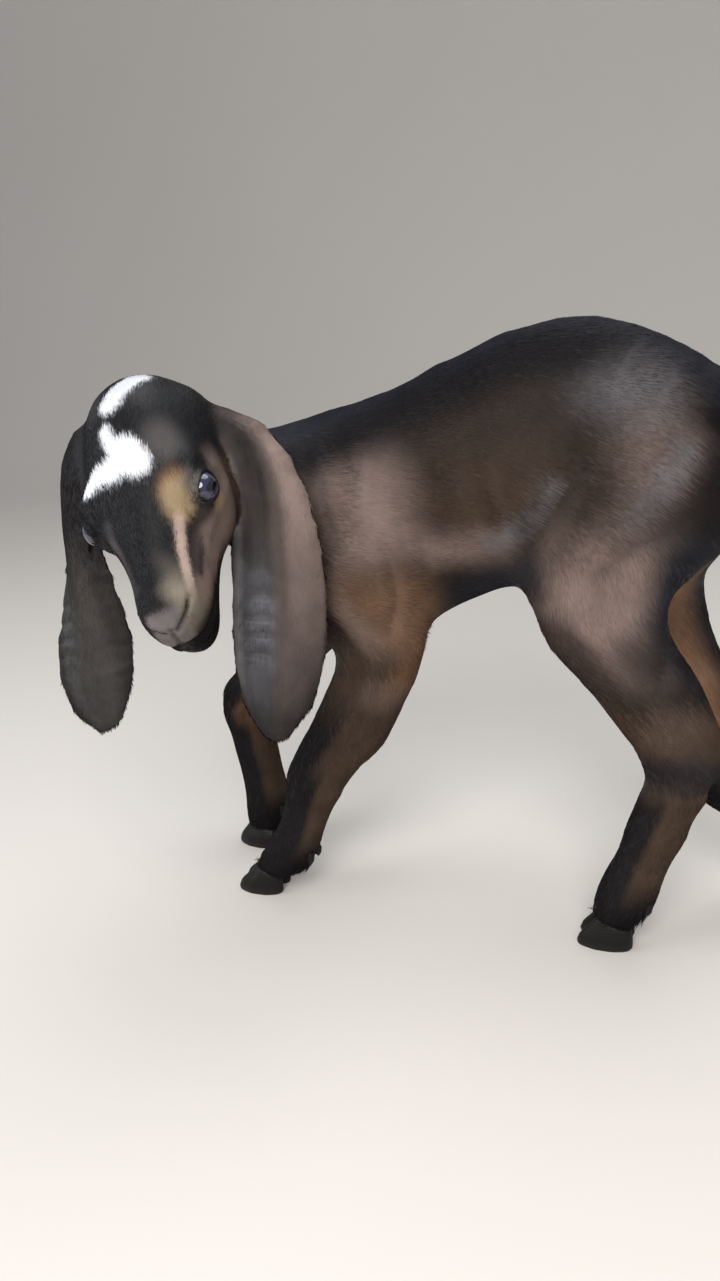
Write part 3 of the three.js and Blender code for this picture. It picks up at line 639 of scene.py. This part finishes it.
def body_colour(kid):
    x, _, z = kid.T
    back = np.interp(x, [-203, -150, -103, -52, 40, 82, 144], [350, 403, 434, 433, 398, 381, 350])
    belly = np.interp(x, [-184, -103, -52, 40, 82, 144], [288, 264, 260, 224, 212, 240])
    rise = (z - belly) / (back - belly)
    flat = kid * (1, 0, 1)
    colour = np.tile(DARK_BROWN, (len(kid), 1))
    # Of these patches, the rose ones on the shoulder and haunch are partly painted sheen, and the silver one on
    # the croup is painted sheen.
    for shade, centre, radii, blur, share in (
        (BROWN, (-40, 0, 322), (60, 9, 38), 0.8, 0.7),  # ribs
        (ROSE_SHEEN, (56, 0, 318), (34, 9, 38), 0.7, 0.85),  # shoulder
        (ROSE_SHEEN, (-140, 0, 350), (26, 9, 40), 0.8, 0.5),  # haunch
        (SILVER_SHEEN, (-124, 0, 396), (34, 9, 20), 0.9, 0.6),  # croup
    ):
        colour = lay(colour, (shade, spot(flat, centre, radii, blur) * share))
    # Of these lines, the silver ones down the haunch and up the flank are painted sheen, the rose one along the
    # lower ribs is partly painted sheen, and the dark ones in the flank's fold and before the shoulder are
    # painted shade in those creases.
    for shade, path, width, blur, share in (
        (SILVER_SHEEN, [(-150, 0, 356), (-122, 0, 308)], 9, 6, 0.6),  # down the haunch
        (ROSE_SHEEN, [(44, 0, 300), (6, 0, 293), (-34, 0, 293)], 11, 13, 0.65),  # along the lower ribs
        (SILVER_SHEEN, [(-32, 0, 298), (-54, 0, 308), (-66, 0, 322), (-74, 0, 336)], 4, 9, 0.75),  # up the flank
        (DARK_BROWN * 0.6, [(-96, 0, 352), (-78, 0, 312), (-58, 0, 282)], 4, 4, 0.8),  # in the flank's fold
        (DARK_BROWN * 0.6, [(84, 0, 358), (78, 0, 328), (73, 0, 296)], 3, 7, 0.7),  # before the shoulder
    ):
        colour = lay(colour, (shade, along_line(flat, path, width, blur) * share))

    # Black over the back and rump, held off the croup where the painted sheen shows, and under the belly
    croup = spot(flat, (-128, 0, 394), (30, 9, 22), 0.7)
    return lay(
        colour,
        (BLACK, ease(0.72, 0.88, rise) * (1 - 0.8 * croup)),
        (BLUE_BLACK, ease(0.9, 1.0, rise) * 0.7),
        (BLACK, ease(-158, -182, x + 0.5 * np.minimum(z - 370, 0)) * 0.9),
        (BLUE_BLACK, ease(0.26, 0.08, rise) * ease(24, -10, x) * ease(-120, -80, x) * 0.85),
    )


def leg_colour(kid, leg):
    x, y, z = kid.T
    line = np.array(LEG_LINES[leg][::-1], float)
    ahead = x - np.interp(z, line[:, 1], line[:, 0])
    out = y / LEG_OUT[leg] - 1
    flat = kid * (1, 0, 1)
    if leg.startswith("fore"):
        coats = (
            (BROWN, ease(250, 200, z) * 0.8),
            (paint(110, 92, 82), ease(206, 240, z) * ease(14, 2, ahead)),
            (TAN, ease(-4, -20, ahead) * ease(176, 206, z) * ease(300, 262, z) * 0.85),
            # a painted highlight on the forearm
            (ROSE_SHEEN, spot(flat, (44, 0, 192), (16, 9, 12), 0.6) * 0.25),
            (BROWN, ease(-3, -9, ahead) * ease(165, 120, z)),
            (TAN, ease(-0.1, -0.5, out) * ease(80, 130, z) * 0.6),
            (BLACK, ease(-11, -4, ahead) * ease(136, 112, z)),
            (BLACK, ease(0, 10, ahead) * ease(205, 150, z)),
        )
    else:
        fold = [(-106, 0, 283), (-124, 0, 297), (-146, 0, 312)]
        hock = LEG_LINES[leg][4][1]
        coats = (
            # rose on the thigh, partly painted sheen
            (ROSE_SHEEN, spot(flat, (-112, 0, 266), (44, 9, 48), 0.6) * 0.9),
            # the dark line in the thigh's fold and the blue-black behind the thigh are painted shade
            (DARK_BROWN, along_line(flat, fold, 4, 8) * 0.8),
            (BLUE_BLACK, ease(-20, -44, ahead) * ease(186, 220, z) * ease(330, 290, z)),
            (DARK_BROWN * 1.3, ease(2, 16, ahead) * ease(262, 244, z) * 0.8),
            (BROWN, ease(205, 180, z)),
            (BLACK, spot(flat, (-142, 0, 231), (26, 9, 15), 0.6) * 0.75),
            # a painted highlight above the hock
            (ROSE_SHEEN, spot(flat, (-150, 0, 182), (18, 9, 16), 0.6) * 0.15),
            (paint(150, 112, 84), ease(-0.15, -0.6, out) * ease(120, 160, z)),
            (paint(40, 35, 36), ease(20, 6, np.abs(z - hock))),
            (BLACK, ease(-1, 6, ahead) * ease(140, 115, z)),
        )
    return lay(np.tile(DARK_BROWN, (len(kid), 1)), *coats, (BLACK, ease(66, 38, z)))


def leg_share(kid, leg, on_leg):
    """How far a place takes the leg's own markings, which fade up into those of the body."""
    low, top, middle = (256, 302, 62) if leg.startswith("fore") else (290, 350, -118)
    beside = ease(64, 38, np.abs(kid[:, 0] - middle))
    if on_leg:
        beside = np.maximum(beside, ease(low - 10, low - 34, kid[:, 2]))
    return (ease(top, low, kid[:, 2]) * beside)[:, None]


def ear_colour(ear, along, wide, outer):
    front_half = ease(0.42, 0.12, np.abs(wide + 0.42)) * ease(0.57, 0.46, along)
    creased = ear_wrinkles(along, wide) * 0.5 + 0.5
    creased *= ease(0.54, 0.6, along) * ease(0.84, 0.76, along) * ease(0.1, -0.25, wide)
    rear = ease(0.1, 0.5, wide + 0.9 * np.maximum(0.3 - along, 0))
    rear = rear * ease(0.1, 0.25, along) * ease(0.72, 0.45, along)
    low_rear = ease(0.1, 0.5, wide) * ease(0.4, 0.5, along) * ease(0.8, 0.66, along)
    front = ease(0.14, 0.04, np.abs(wide + 0.86)) * ease(0.16, 0.26, along)
    edge = ease(0.93, 1.0, wide) + ease(0.93, 1.0, -wide) * ease(0.55, 0.68, along)
    edge = np.maximum(edge, ease(0.55, 0.95, np.abs(wide)) * ease(0.76, 0.88, along))
    # On the near ear the pale rear and front bands are partly its own colour and partly painted sheen, and the
    # crests of the wrinkles carry a painted highlight.
    colour = lay(
        np.tile(paint(80, 70, 67), (len(along), 1)),
        (paint(74, 73, 76), ease(0.0, -0.25, wide) * ease(0.4, 0.55, along)),
        (paint(44, 38, 36), ease(0.34, 0.04, np.abs(wide + 0.2)) * ease(0.46, 0.3, along)),
        (paint(50, 46, 46), front_half * 0.8),
        (paint(112, 112, 119), creased * 0.6),
        (paint(164, 144, 136), rear * 0.85),
        (paint(112, 98, 92), low_rear * 0.6),
        (paint(120, 116, 117), front * 0.85),
        (paint(38, 34, 34), ease(0.82, 0.97, along) * 0.9),
        (paint(30, 26, 26), edge * 0.7),
        (paint(40, 35, 34), ease(0.16, 0.04, along)),
        (paint(84, 66, 58), (1 - outer) * 0.6),
    )
    if ear == "ear_left":
        return colour
    # The far ear, which lies in shade, is darkened all over and blackened at the root and along its rims, as
    # painted shade.
    return lay(
        colour,
        (paint(52, 50, 48), np.full(len(along), 0.85)),
        (BLACK, ease(0.66, 0.36, along)),
        (BLACK, ease(0.5, 0.8, np.abs(wide)) * 0.6),
    )


def pelt(points, part, normals):
    """The coat's colour at each point, with ragged edges between its patches."""
    rng = np.random.default_rng(4)
    ragged = points + rng.normal(0, 0.0007, points.shape)
    kid, head = in_kid(ragged), in_head(ragged)
    colour = body_colour(kid)
    for index, node in enumerate(FLESH):
        here = part == index
        if not here.any():
            continue
        if node == "head":
            colour[here] = head_colour(head[here])
        elif node.startswith("leg"):
            leg = node[4:].rsplit("_", 1)[0]
            colour[here] += (leg_colour(kid[here], leg) - colour[here]) * leg_share(kid[here], leg, True)
        elif node.startswith("ear"):
            along, wide, _, _, _, looks = ear_place(ragged[here], node)
            outer = ease(-0.2, 0.2, (normals[here] * (-1, 1, 1)) @ looks)
            colour[here] = ear_colour(node, along, wide, outer)
        elif node == "trunk":
            for leg in LEG_NAMES:
                ours = here & (np.sign(kid[:, 1]) == np.sign(LEG_OUT[leg]))
                colour[ours] += (leg_colour(kid[ours], leg) - colour[ours]) * leg_share(kid[ours], leg, False)
        elif node == "tail":
            colour[here] = np.where(normals[here][:, 2:] < -0.2, TAN, BLACK)
    across, up = kid[:, 0], kid[:, 2]
    tone = 1 + 0.10 * np.sin(across * 0.11 + 2 * np.sin(up * 0.05)) * np.sin(up * 0.13 + 1.3)
    mottle = 0.09 * np.sin(across * 0.36 + 2.4 * np.sin(up * 0.12))
    tone += mottle * np.sin(up * 0.21 + 2 * np.sin(across * 0.13))
    return np.clip(colour * tone[:, None], 0, 1)


normals = hide.normals()
skin_colour = hide.even_out(pelt(hide.points, part_of, normals), 2)
note(skin.data, "pelt", "FLOAT_COLOR", "color", np.c_[skin_colour, np.ones(hide.count)])

place = in_head(hide.points)
bare = ease(140.5, 143, place[:, 0]) * (1 - ease(9, 11, np.abs(place[:, 1]))) * ease(-62, -60, place[:, 2])
bare *= is_part["head"]
note(skin.data, "bare", "FLOAT", "value", bare)


class Wire:
    """One value in a finish. An expression on wires adds the Math nodes that work it out."""

    def __init__(self, finish, socket):
        self.finish, self.socket = finish, socket

    def math(self, operation, *values):
        return self.finish.add("ShaderNodeMath", {"operation": operation}, values)

    def __add__(self, other):
        return self.math("ADD", self, other)

    def __sub__(self, other):
        return self.math("SUBTRACT", self, other)

    def __rsub__(self, other):
        return self.math("SUBTRACT", other, self)

    def __mul__(self, other):
        return self.math("MULTIPLY", self, other)

    def __truediv__(self, other):
        return self.math("DIVIDE", self, other)

    def __rtruediv__(self, other):
        return self.math("DIVIDE", other, self)

    def __pow__(self, other):
        return self.math("POWER", self, other)

    __radd__ = __add__
    __rmul__ = __mul__


class Finish:
    """A material on one shader, whose constants are set on the shader itself."""

    def __init__(self, name, **constants):
        self.material = bpy.data.materials.new(name)
        self.material.use_nodes = True
        self.tree = self.material.node_tree
        self.shader = self.tree.nodes["Principled BSDF"]
        for socket, value in constants.items():
            self.shader.inputs[socket.replace("_", " ")].default_value = value

    def connect(self, node, sockets):
        """Gives a node a value or a wire for each of its sockets."""
        for socket, value in sockets:
            if isinstance(value, Wire):
                self.tree.links.new(value.socket, node.inputs[socket])
            else:
                node.inputs[socket].default_value = value

    def add(self, kind, settings=None, values=(), output=0, **named):
        """Adds a node: its settings first, then its values in order and by name."""
        node = self.tree.nodes.new(kind)
        for name, value in (settings or {}).items():
            setattr(node, name, value)
        self.connect(node, enumerate(values))
        self.connect(node, [(socket.replace("_", " "), value) for socket, value in named.items()])
        return Wire(self, node.outputs[output])

    def own(self, attribute, output="Color"):
        return self.add("ShaderNodeAttribute", {"attribute_name": attribute}, output=output)

    def place(self):
        return self.add("ShaderNodeTexCoord", output="Object")

    def noise(self, scale, detail, place=None):
        where = place or self.place()
        return self.add("ShaderNodeTexNoise", {}, Vector=where, Scale=scale, Detail=detail)

    def mix(self, share, first, second):
        node = self.tree.nodes.new("ShaderNodeMix")
        node.data_type = "RGBA"
        first, second = [c if isinstance(c, Wire) else (*c, 1) for c in (first, second)]
        self.connect(node, ((0, share), (6, first), (7, second)))
        return Wire(self, node.outputs[2])

    def feed(self, **named):
        """Leads wires to the shader."""
        self.connect(self.shader, [(socket.replace("_", " "), wire) for socket, wire in named.items()])

    def relief(self, height, distance, strength=1.0):
        bump = self.add("ShaderNodeBump", {}, Height=height, Distance=distance, Strength=strength)
        self.feed(Normal=bump)


hide_finish = Finish("hide_finish", Roughness=0.45, Specular_IOR_Level=0.16)
grain = hide_finish.noise(900, 4)
blotch = hide_finish.noise(60, 3)
bare_skin = hide_finish.own("bare", "Fac")
tint = hide_finish.own("pelt")
hide_finish.feed(
    Base_Color=hide_finish.mix(blotch * 0.35, tint, (0.01, 0.008, 0.007)),
    Roughness=0.5 - bare_skin * 0.16 + grain * 0.08,
)
pebbles = hide_finish.add("ShaderNodeTexVoronoi", {}, Vector=hide_finish.place(), Scale=1100)
hide_finish.relief(grain * (1 - bare_skin) + pebbles * bare_skin, 0.0003, 0.7)


def give_finish(piece, finish):
    piece.data.materials.clear()
    piece.data.materials.append(finish.material)


give_finish(skin, hide_finish)
skin.data.polygons.foreach_set("use_smooth", np.ones(len(skin.data.polygons), bool))

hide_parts(*FLESH)
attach(skin, "root")

# ------------------------------------------------------------
# Coat: short close hair in thousands of fine locks that overlap like shingles, from the nose back
# over the body and down the legs. Each lock is a closed sliver rooted in the hide.
# ------------------------------------------------------------
use(skin)
bpy.ops.object.mode_set(mode="EDIT")
bpy.ops.mesh.select_all(action="SELECT")
bpy.ops.uv.smart_project(angle_limit=math.radians(66), island_margin=0.002)
bpy.ops.object.mode_set(mode="OBJECT")
skin.data.uv_layers[0].name = "unwrap"

# Lines that the hair follows on each part, in the kid's millimetres
trunk_lie = [(130, 0, 290), (70, 0, 305), (-40, 0, 345), (-140, 0, 348), (-205, 0, 325)]
neck_lie = [(162, -118, 362), (154, -80, 346), (130, -34, 326), (88, 0, 306)]
tail_lie = [(-196, 0, 384), (-220, 0, 402), (-240, 0, 420)]
head_lie = [(150, 0, -56), (110, 0, -45), (60, 0, -36), (0, 0, -34), (-30, 0, -36)]
head_lie = in_kid(np.array([from_head(*point) for point in head_lie]))
LIE = {"trunk": trunk_lie, "neck": neck_lie, "tail": tail_lie, "head": head_lie}


def line_direction(kid, path):
    path = np.array(path, float)
    best, direction = np.full(len(kid), 1e9), np.zeros((len(kid), 3))
    for a, b in zip(path[:-1], path[1:]):
        t = np.clip(((kid - a) @ (b - a)) / ((b - a) @ (b - a)), 0, 1)
        far = np.linalg.norm(kid - a - t[:, None] * (b - a), axis=1)
        closer = far < best
        best[closer] = far[closer]
        direction[closer] = (b - a) / np.linalg.norm(b - a)
    return direction


kid = in_kid(hide.points)
lie = np.zeros((hide.count, 3))
for index, node in enumerate(FLESH):
    here = part_of == index
    if node.startswith("leg"):
        leg = node[4:].rsplit("_", 1)[0]
        lie[here] = line_direction(kid[here], [(x, LEG_OUT[leg], z) for x, z in LEG_LINES[leg]])
        if node.endswith("upper"):
            lie[here] += (-0.35, 0, 0)
    elif node.startswith("ear"):
        lie[here] = ear_place(hide.points[here], node)[2]
    else:
        lie[here] = line_direction(kid[here], LIE[node])
        if node == "trunk":
            lie[here] += np.array([0, 0, -0.55]) * np.abs(normals[here][:, 1:2])
        if node == "neck":
            lie[here] += (0, 0, -0.4)
lie = lie * (-1, 1, 1)
lie = hide.even_out(lie, 90)
normals = hide.normals()
lie -= normals * (lie * normals).sum(1)[:, None]
lie = hide.even_out(unit(lie), 4)

# Length and width of the locks in millimetres, and how far their tips stand off the hide
length = by_part(head=4.4, neck=8.5, trunk=9.5, tail=13, ear=5.4, upper=8.5, lower=5)
width = by_part(head=0.6, neck=0.95, trunk=1.0, tail=1.2, ear=0.55, upper=0.95, lower=0.72)
stand = by_part(head=0.2, neck=0.5, trunk=0.5, tail=1.0, ear=0.16, upper=0.45, lower=0.28)
place = in_head(hide.points)
on_head = part_of == FLESH.index("head")
muzzle_share = ease(70, 135, place[:, 0]) * on_head
length *= 1 - 0.5 * muzzle_share
width *= 1 - 0.35 * muzzle_share
length *= 1 + 1.5 * ease(48, 34, kid[:, 2])
length *= 1 - 0.65 * ease(-226, -240, kid[:, 0])
stand *= 1 + 3.5 * ease(48, 34, kid[:, 2])
for ear in ("ear_left", "ear_right"):
    here = part_of == FLESH.index(ear)
    length[here] *= 1 - 0.45 * ease(0.8, 0.98, ear_place(hide.points[here], ear)[0])
length, width, stand = [hide.even_out(v, 14) for v in (length, width, stand)]

# No lock grows on the nose pad, the lips' edge, or inside the eyes.
eyes = [np.array(EYE) * (1, side, 1) for side in (1, -1)]
eye_gap = np.min([np.linalg.norm(place - eye, axis=1) for eye in eyes], axis=0)
grows = (1 - bare) * ease(13.1, 13.6, eye_gap)
grows *= 1 - (kid[:, 2] < 4)

mesh = skin.data
mesh.calc_loop_triangles()
tri_verts, tri_loops = [read(mesh.loop_triangles, what, 3, np.int32) for what in ("vertices", "loops")]
unwrap = read(mesh.uv_layers["unwrap"].data, "uv", 2)
first, second, third = hide.points[tri_verts].transpose(1, 0, 2)
tri_area = np.linalg.norm(np.cross(second - first, third - first), axis=1) / 2

coat_finish = Finish("coat_finish", Roughness=0.4, Specular_IOR_Level=0.08)
fine = coat_finish.noise(2600, 2)
broad = coat_finish.noise(120, 3)
coat_finish.feed(
    Base_Color=coat_finish.mix(fine * 0.2, coat_finish.own("pelt"), (0.012, 0.009, 0.008)),
    Roughness=0.42 + broad * 0.14,
)

LOCK_CORNERS_LEAN = np.array([-0.35, 0.35, 0, 0])  # how far each corner's normal leans to its side
LOCK_CORNERS_TIP = np.array([-0.1, -0.1, 0, 0.15])  # and towards the tip
LOCK_SHADE = np.array([0.88, 0.88, 1.0, 1.06])  # darker at the root
ROOT_DEPTH = 0.00025
PATCH = 0.003  # the width of a lock's place on the unwrap


def grow(name, parts, count, seed):
    """Grows the coat of some parts as one piece, with as many locks as asked."""
    rng = np.random.default_rng(seed)
    here = np.isin(part_of[tri_verts[:, 0]], [FLESH.index(p) for p in parts])
    chance = tri_area * grows[tri_verts].mean(1) * here / (length * width)[tri_verts].mean(1)
    chosen = rng.choice(len(tri_area), count, p=chance / chance.sum())
    weight = rng.dirichlet((1, 1, 1), count)

    def at_root(values):
        return (values[tri_verts[chosen]] * (weight if values.ndim == 1 else weight[..., None])).sum(1)

    root, normal, way = at_root(hide.points), unit(at_root(normals)), at_root(lie)
    swirl = np.sin(root @ (70, 40, 30)) * np.sin(root @ (-30, 60, 70) + 1) * 0.04
    turn = rng.normal(0, 0.05, count) + swirl
    way = unit(way - normal * (way * normal).sum(1)[:, None])
    aside = np.cross(normal, way)
    way = way * np.cos(turn)[:, None] + aside * np.sin(turn)[:, None]
    aside = np.cross(normal, way)
    long = at_root(length) * rng.uniform(0.7, 1.25, count) / 1000
    wide = at_root(width) * rng.uniform(0.75, 1.2, count) / 1000
    tall = at_root(stand) * rng.uniform(0.5, 1.3, count) / 1000
    sunk = root - normal * ROOT_DEPTH
    corners = np.stack(
        [
            sunk - aside * wide[:, None] / 2,
            sunk + aside * wide[:, None] / 2,
            root + way * (long * 0.42)[:, None] + normal * (tall * 0.55 + wide * 0.12)[:, None],
            root + way * long[:, None] + normal * (tall * 0.8)[:, None],
        ],
        1,
    )
    faces = np.array([(0, 3, 2), (1, 2, 3), (0, 2, 1), (0, 1, 3)])
    loops = (np.arange(count)[:, None, None] * 4 + faces[None]).reshape(-1)
    coat = bpy.data.meshes.new(name)
    coat.vertices.add(count * 4)
    coat.vertices.foreach_set("co", corners.astype(np.float32).ravel())
    coat.loops.add(len(loops))
    coat.loops.foreach_set("vertex_index", loops.astype(np.int32))
    coat.polygons.add(count * 4)
    coat.polygons.foreach_set("loop_start", np.arange(0, len(loops), 3, dtype=np.int32))
    coat.polygons.foreach_set("use_smooth", np.ones(count * 4, bool))
    coat.update(calc_edges=True)
    lean = np.repeat(normal[:, None], 4, axis=1) + aside[:, None] * LOCK_CORNERS_LEAN[None, :, None]
    lean += way[:, None] * LOCK_CORNERS_TIP[None, :, None]
    coat.normals_split_custom_set_from_vertices(unit(lean).reshape(-1, 3))
    patch = np.array([(-0.5, -0.5), (0.5, -0.5), (0, -0.1), (0, 0.5)]) * PATCH
    home = (unwrap[tri_loops[chosen]] * weight[..., None]).sum(1)
    spread = (home[:, None, None] + patch[faces][None]).reshape(-1, 2)
    coat.uv_layers.new(name="OFBake").data.foreach_set("uv", spread.astype(np.float32).ravel())
    colour = pelt(root, part_of[tri_verts[chosen, 0]], normal) * rng.uniform(0.9, 1.1, count)[:, None]
    shade = np.repeat(np.clip(colour, 0, 1)[:, None], 4, axis=1) * LOCK_SHADE[None, :, None]
    note(coat, "pelt", "FLOAT_COLOR", "color", np.c_[shade.reshape(-1, 3), np.ones(count * 4)])
    piece = new_piece(name, coat)
    give_finish(piece, coat_finish)
    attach(piece, "root")


# A piece of the coat has at most this many locks, of four faces each.
LOCKS = 49000
THIN = 1
fore, hind = [[part for part in LEG_PARTS if end in part] for end in ("fore", "hind")]
for name, parts, count, seed, slot in (
    ("coat_head", ["head"], LOCKS, 11, "black_coat"),
    ("coat_ears", ["ear_left", "ear_right"], LOCKS, 12, "brown_coat"),
    ("coat_neck", ["neck"], 22000, 13, "brown_coat"),
    ("coat_trunk", ["trunk"], LOCKS, 14, "brown_coat"),
    ("coat_trunk_second", ["trunk"], LOCKS, 15, "brown_coat"),
    ("coat_fore_legs", fore, LOCKS, 16, "brown_coat"),
    ("coat_hind_legs", hind, LOCKS, 17, "brown_coat"),
    ("coat_tail", ["tail"], 6000, 18, "black_coat"),
):
    grow(name, parts, int(count * THIN), seed)

# Under its coat the hide needs fewer facets, except at the eyes and muzzle, where it shows.
FACETS_KEPT = 0.505
shows = on_head & ((eye_gap < 22) | (place[:, 0] > 116))
covered = skin.vertex_groups.new(name="covered")
covered.add(np.flatnonzero(~shows).tolist(), 1.0, "REPLACE")
shape_with(skin, "DECIMATE", ratio=FACETS_KEPT, vertex_group="covered", vertex_group_factor=1.0)
skin.vertex_groups.clear()

# ------------------------------------------------------------
# Eyes: wet, dark balls with a raised clear front, a slate and brown iris and a level, slotted pupil.
# ------------------------------------------------------------
eye_finish = Finish("eye_finish", Roughness=0.04, Coat_Weight=1.0, Coat_Roughness=0.02, IOR=1.4)
gaze = eye_finish.own("gaze", "Vector")
u, v = [eye_finish.add("ShaderNodeSeparateXYZ", {}, (gaze,), output=i) for i in (0, 1)]
from_middle = (u * u + v * v) ** 0.5
streaks = eye_finish.noise(9, 4, place=gaze)
slot_shape = ((u / 0.44) ** 4 + (v / 0.22) ** 4) ** 0.25
smooth = {"interpolation_type": "SMOOTHSTEP"}
iris_edge = eye_finish.add("ShaderNodeMapRange", smooth, (from_middle, 0.62, 0.70))
pupil_edge = eye_finish.add("ShaderNodeMapRange", smooth, (slot_shape, 0.9, 1.1))
iris = eye_finish.mix(streaks, paint(16, 16, 38), paint(50, 50, 84))
iris = eye_finish.mix(pupil_edge, (0.001, 0.001, 0.003), iris)
eye_finish.feed(Base_Color=eye_finish.mix(iris_edge, iris, paint(16, 14, 18)))

for side, name in ((1, "left"), (-1, "right")):
    low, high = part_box(f"eye_{name}")
    centre = (low + high) / 2
    bpy.ops.object.select_all(action="DESELECT")
    bpy.ops.mesh.primitive_uv_sphere_add(
        segments=56, ring_count=36, radius=EYEBALL / 1000, location=(0, 0, 0)
    )
    eye = bpy.context.object
    eye.name = eye.data.name = f"eyeball_{name}"
    ball = read(eye.data.vertices, "co")
    front = ball[:, 2] / (EYEBALL / 1000)
    ball *= 1 + 0.07 * ease(0.72, 0.98, front)[:, None]
    note(eye.data, "gaze", "FLOAT_VECTOR", "vector", ball / (EYEBALL / 1000))
    look, along = eye_ways(side)
    axes = np.stack([along, np.cross(look, along), look])
    write_points(eye.data, (ball @ axes) @ head_axes.T + np.array(centre))
    bpy.ops.object.shade_smooth()
    give_finish(eye, eye_finish)
    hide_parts(f"eye_{name}")
    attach(eye, "root")

# ------------------------------------------------------------
# Hooves and dewclaws: black horn, two claws to a foot, ringed where it has grown and scuffed below.
# ------------------------------------------------------------
horn_finish = Finish("horn_finish", Roughness=0.4, Specular_IOR_Level=0.2)
height_up = horn_finish.add("ShaderNodeSeparateXYZ", {}, (horn_finish.place(),), output=2)
grown = {"Vector": horn_finish.place(), "Scale": 130, "Distortion": 5, "Detail": 3}
rings = horn_finish.add("ShaderNodeTexWave", {"bands_direction": "Z"}, **grown)
scuff = horn_finish.noise(260, 5)
low_edge = horn_finish.add("ShaderNodeMapRange", {}, (height_up, 0.0, 0.007, 0.55, 0.0))
horn_finish.feed(
    Base_Color=horn_finish.mix(low_edge * scuff + rings * 0.08, paint(15, 13, 12), paint(52, 44, 38)),
    Roughness=0.34 + scuff * 0.3,
)
horn_finish.relief(rings * 0.5 + scuff * 0.5, 0.0003, 0.5)

HORN_GRAIN = {"hoof": 0.0011, "dewclaw": 0.0008}
HORN_WEAR = {"hoof": 24, "dewclaw": 5}
for leg in LEG_NAMES:
    for claw, kind in (("hoof", "claws"), ("dewclaw", "dewclaws")):
        nodes = [f"{claw}_{leg}_{half}" for half in ("inner", "outer")]
        halves = [merged_copy(node) for node in nodes]
        for half, node in zip(halves, nodes):
            shape_with(half, "REMESH", mode="VOXEL", voxel_size=HORN_GRAIN[claw])
            shape_with(half, "SMOOTH", factor=0.5, iterations=HORN_WEAR[claw])
            low, high = [np.array(corner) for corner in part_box(node)]
            middle = (low + high) / 2
            points = read(half.data.vertices, "co")
            points = low + (points - points.min(0)) * (high - low) / np.ptp(points, axis=0)
            if claw == "hoof":
                # The sole is worn flat on the floor, and the top leans in under the pastern.
                points[:, 2] = np.maximum(points[:, 2] - 0.001, 0)
                line = np.array(LEG_LINES[leg][::-1], float)
                pastern = (KID_MARK[:2] + (-np.interp(36, line[:, 1], line[:, 0]), LEG_OUT[leg])) / 1000
                points[:, :2] += (pastern - points[:, :2]) * ease(0.007, 0.026, points[:, 2:]) * 0.26
            else:
                toe = (points[:, 2:] - middle[2]) / 0.006
                points[:, :2] = middle[:2] + (points[:, :2] - middle[:2]) * (0.82 + 0.22 * toe)
            write_points(half.data, points)
        use(*halves)
        bpy.ops.object.join()
        foot = halves[0]
        foot.name = foot.data.name = f"{kind}_{leg}"
        bpy.ops.object.shade_smooth()
        give_finish(foot, horn_finish)
        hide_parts(*nodes)
        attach(foot, "root")

# ------------------------------------------------------------
# Studio: a pale floor that sweeps up behind the kid, soft lamps, and the camera.
# ------------------------------------------------------------
bpy.ops.object.select_all(action="DESELECT")
bpy.ops.mesh.primitive_plane_add(size=6, location=(0, 0, 0))
floor = bpy.context.object
floor.name = "floor"
bpy.ops.object.mode_set(mode="EDIT")
bpy.ops.mesh.select_mode(type="EDGE")
bpy.ops.mesh.select_all(action="DESELECT")
bpy.ops.object.mode_set(mode="OBJECT")
for edge in floor.data.edges:
    edge.select = all(floor.data.vertices[v].co.y > 2.9 for v in edge.vertices)
bpy.ops.object.mode_set(mode="EDIT")
bpy.ops.mesh.extrude_region_move(TRANSFORM_OT_translate={"value": (0, 0, 4)})
bpy.ops.object.mode_set(mode="OBJECT")
shape_with(floor, "BEVEL", width=1.2, segments=16, limit_method="ANGLE")
bpy.ops.object.shade_smooth()
floor_finish = Finish("floor_finish", Roughness=0.85)
wash = floor_finish.noise(1.6, 4)
floor_finish.feed(Base_Color=floor_finish.mix(wash * 0.4, paint(212, 207, 200), paint(200, 194, 187)))
give_finish(floor, floor_finish)

bpy.context.scene.view_settings.view_transform = "Standard"
world = bpy.data.worlds.new("studio")
world.use_nodes = True
world.node_tree.nodes["Background"].inputs["Color"].default_value = (0.92, 0.95, 1.0, 1)
world.node_tree.nodes["Background"].inputs["Strength"].default_value = 0.42
bpy.context.scene.world = world

kid_middle = Vector((0, 0, 0.26))


def lamp(name, place, size, power, colour):
    light = bpy.data.lights.new(name, "AREA")
    light.shape = "DISK"
    light.size = size
    light.energy = power
    light.color = colour
    piece = new_piece(name, light)
    piece.location = place
    piece.rotation_euler = (kid_middle - Vector(place)).to_track_quat("-Z", "Y").to_euler()


lamp("key_lamp", (0.35, -1.35, 1.2), 1.1, 31, (1.0, 0.98, 0.96))
lamp("fill_lamp", (-1.4, -0.9, 0.9), 1.2, 12, (0.94, 0.96, 1.0))
lamp("top_lamp", (0.1, 0.4, 1.8), 1.4, 14, (0.95, 0.97, 1.0))

# The camera stands at the kid's left, a little above its back, and tips down to it.
YAW = math.radians(23.6)
PITCH = math.radians(18)
ROLL = math.radians(4.5)
right = Vector((math.cos(YAW), math.sin(YAW), 0))
forward = Vector((-math.sin(YAW) * math.cos(PITCH), math.cos(YAW) * math.cos(PITCH), -math.sin(PITCH)))
up = right.cross(forward)
camera_right = right * math.cos(ROLL) - up * math.sin(ROLL)
camera_up = right * math.sin(ROLL) + up * math.cos(ROLL)
camera_data = bpy.data.cameras.new("camera")
camera_data.sensor_fit = "VERTICAL"
camera_data.sensor_height = 36
camera_data.lens = 28.1
camera_data.clip_start = 0.01
camera = new_piece("camera", camera_data)
axes = Matrix((camera_right, camera_up, -forward)).transposed()
camera.matrix_world = Matrix.Translation((0.1928, -0.588, 0.444)) @ axes.to_4x4()
bpy.context.scene.camera = camera

bpy.context.view_layer.update()
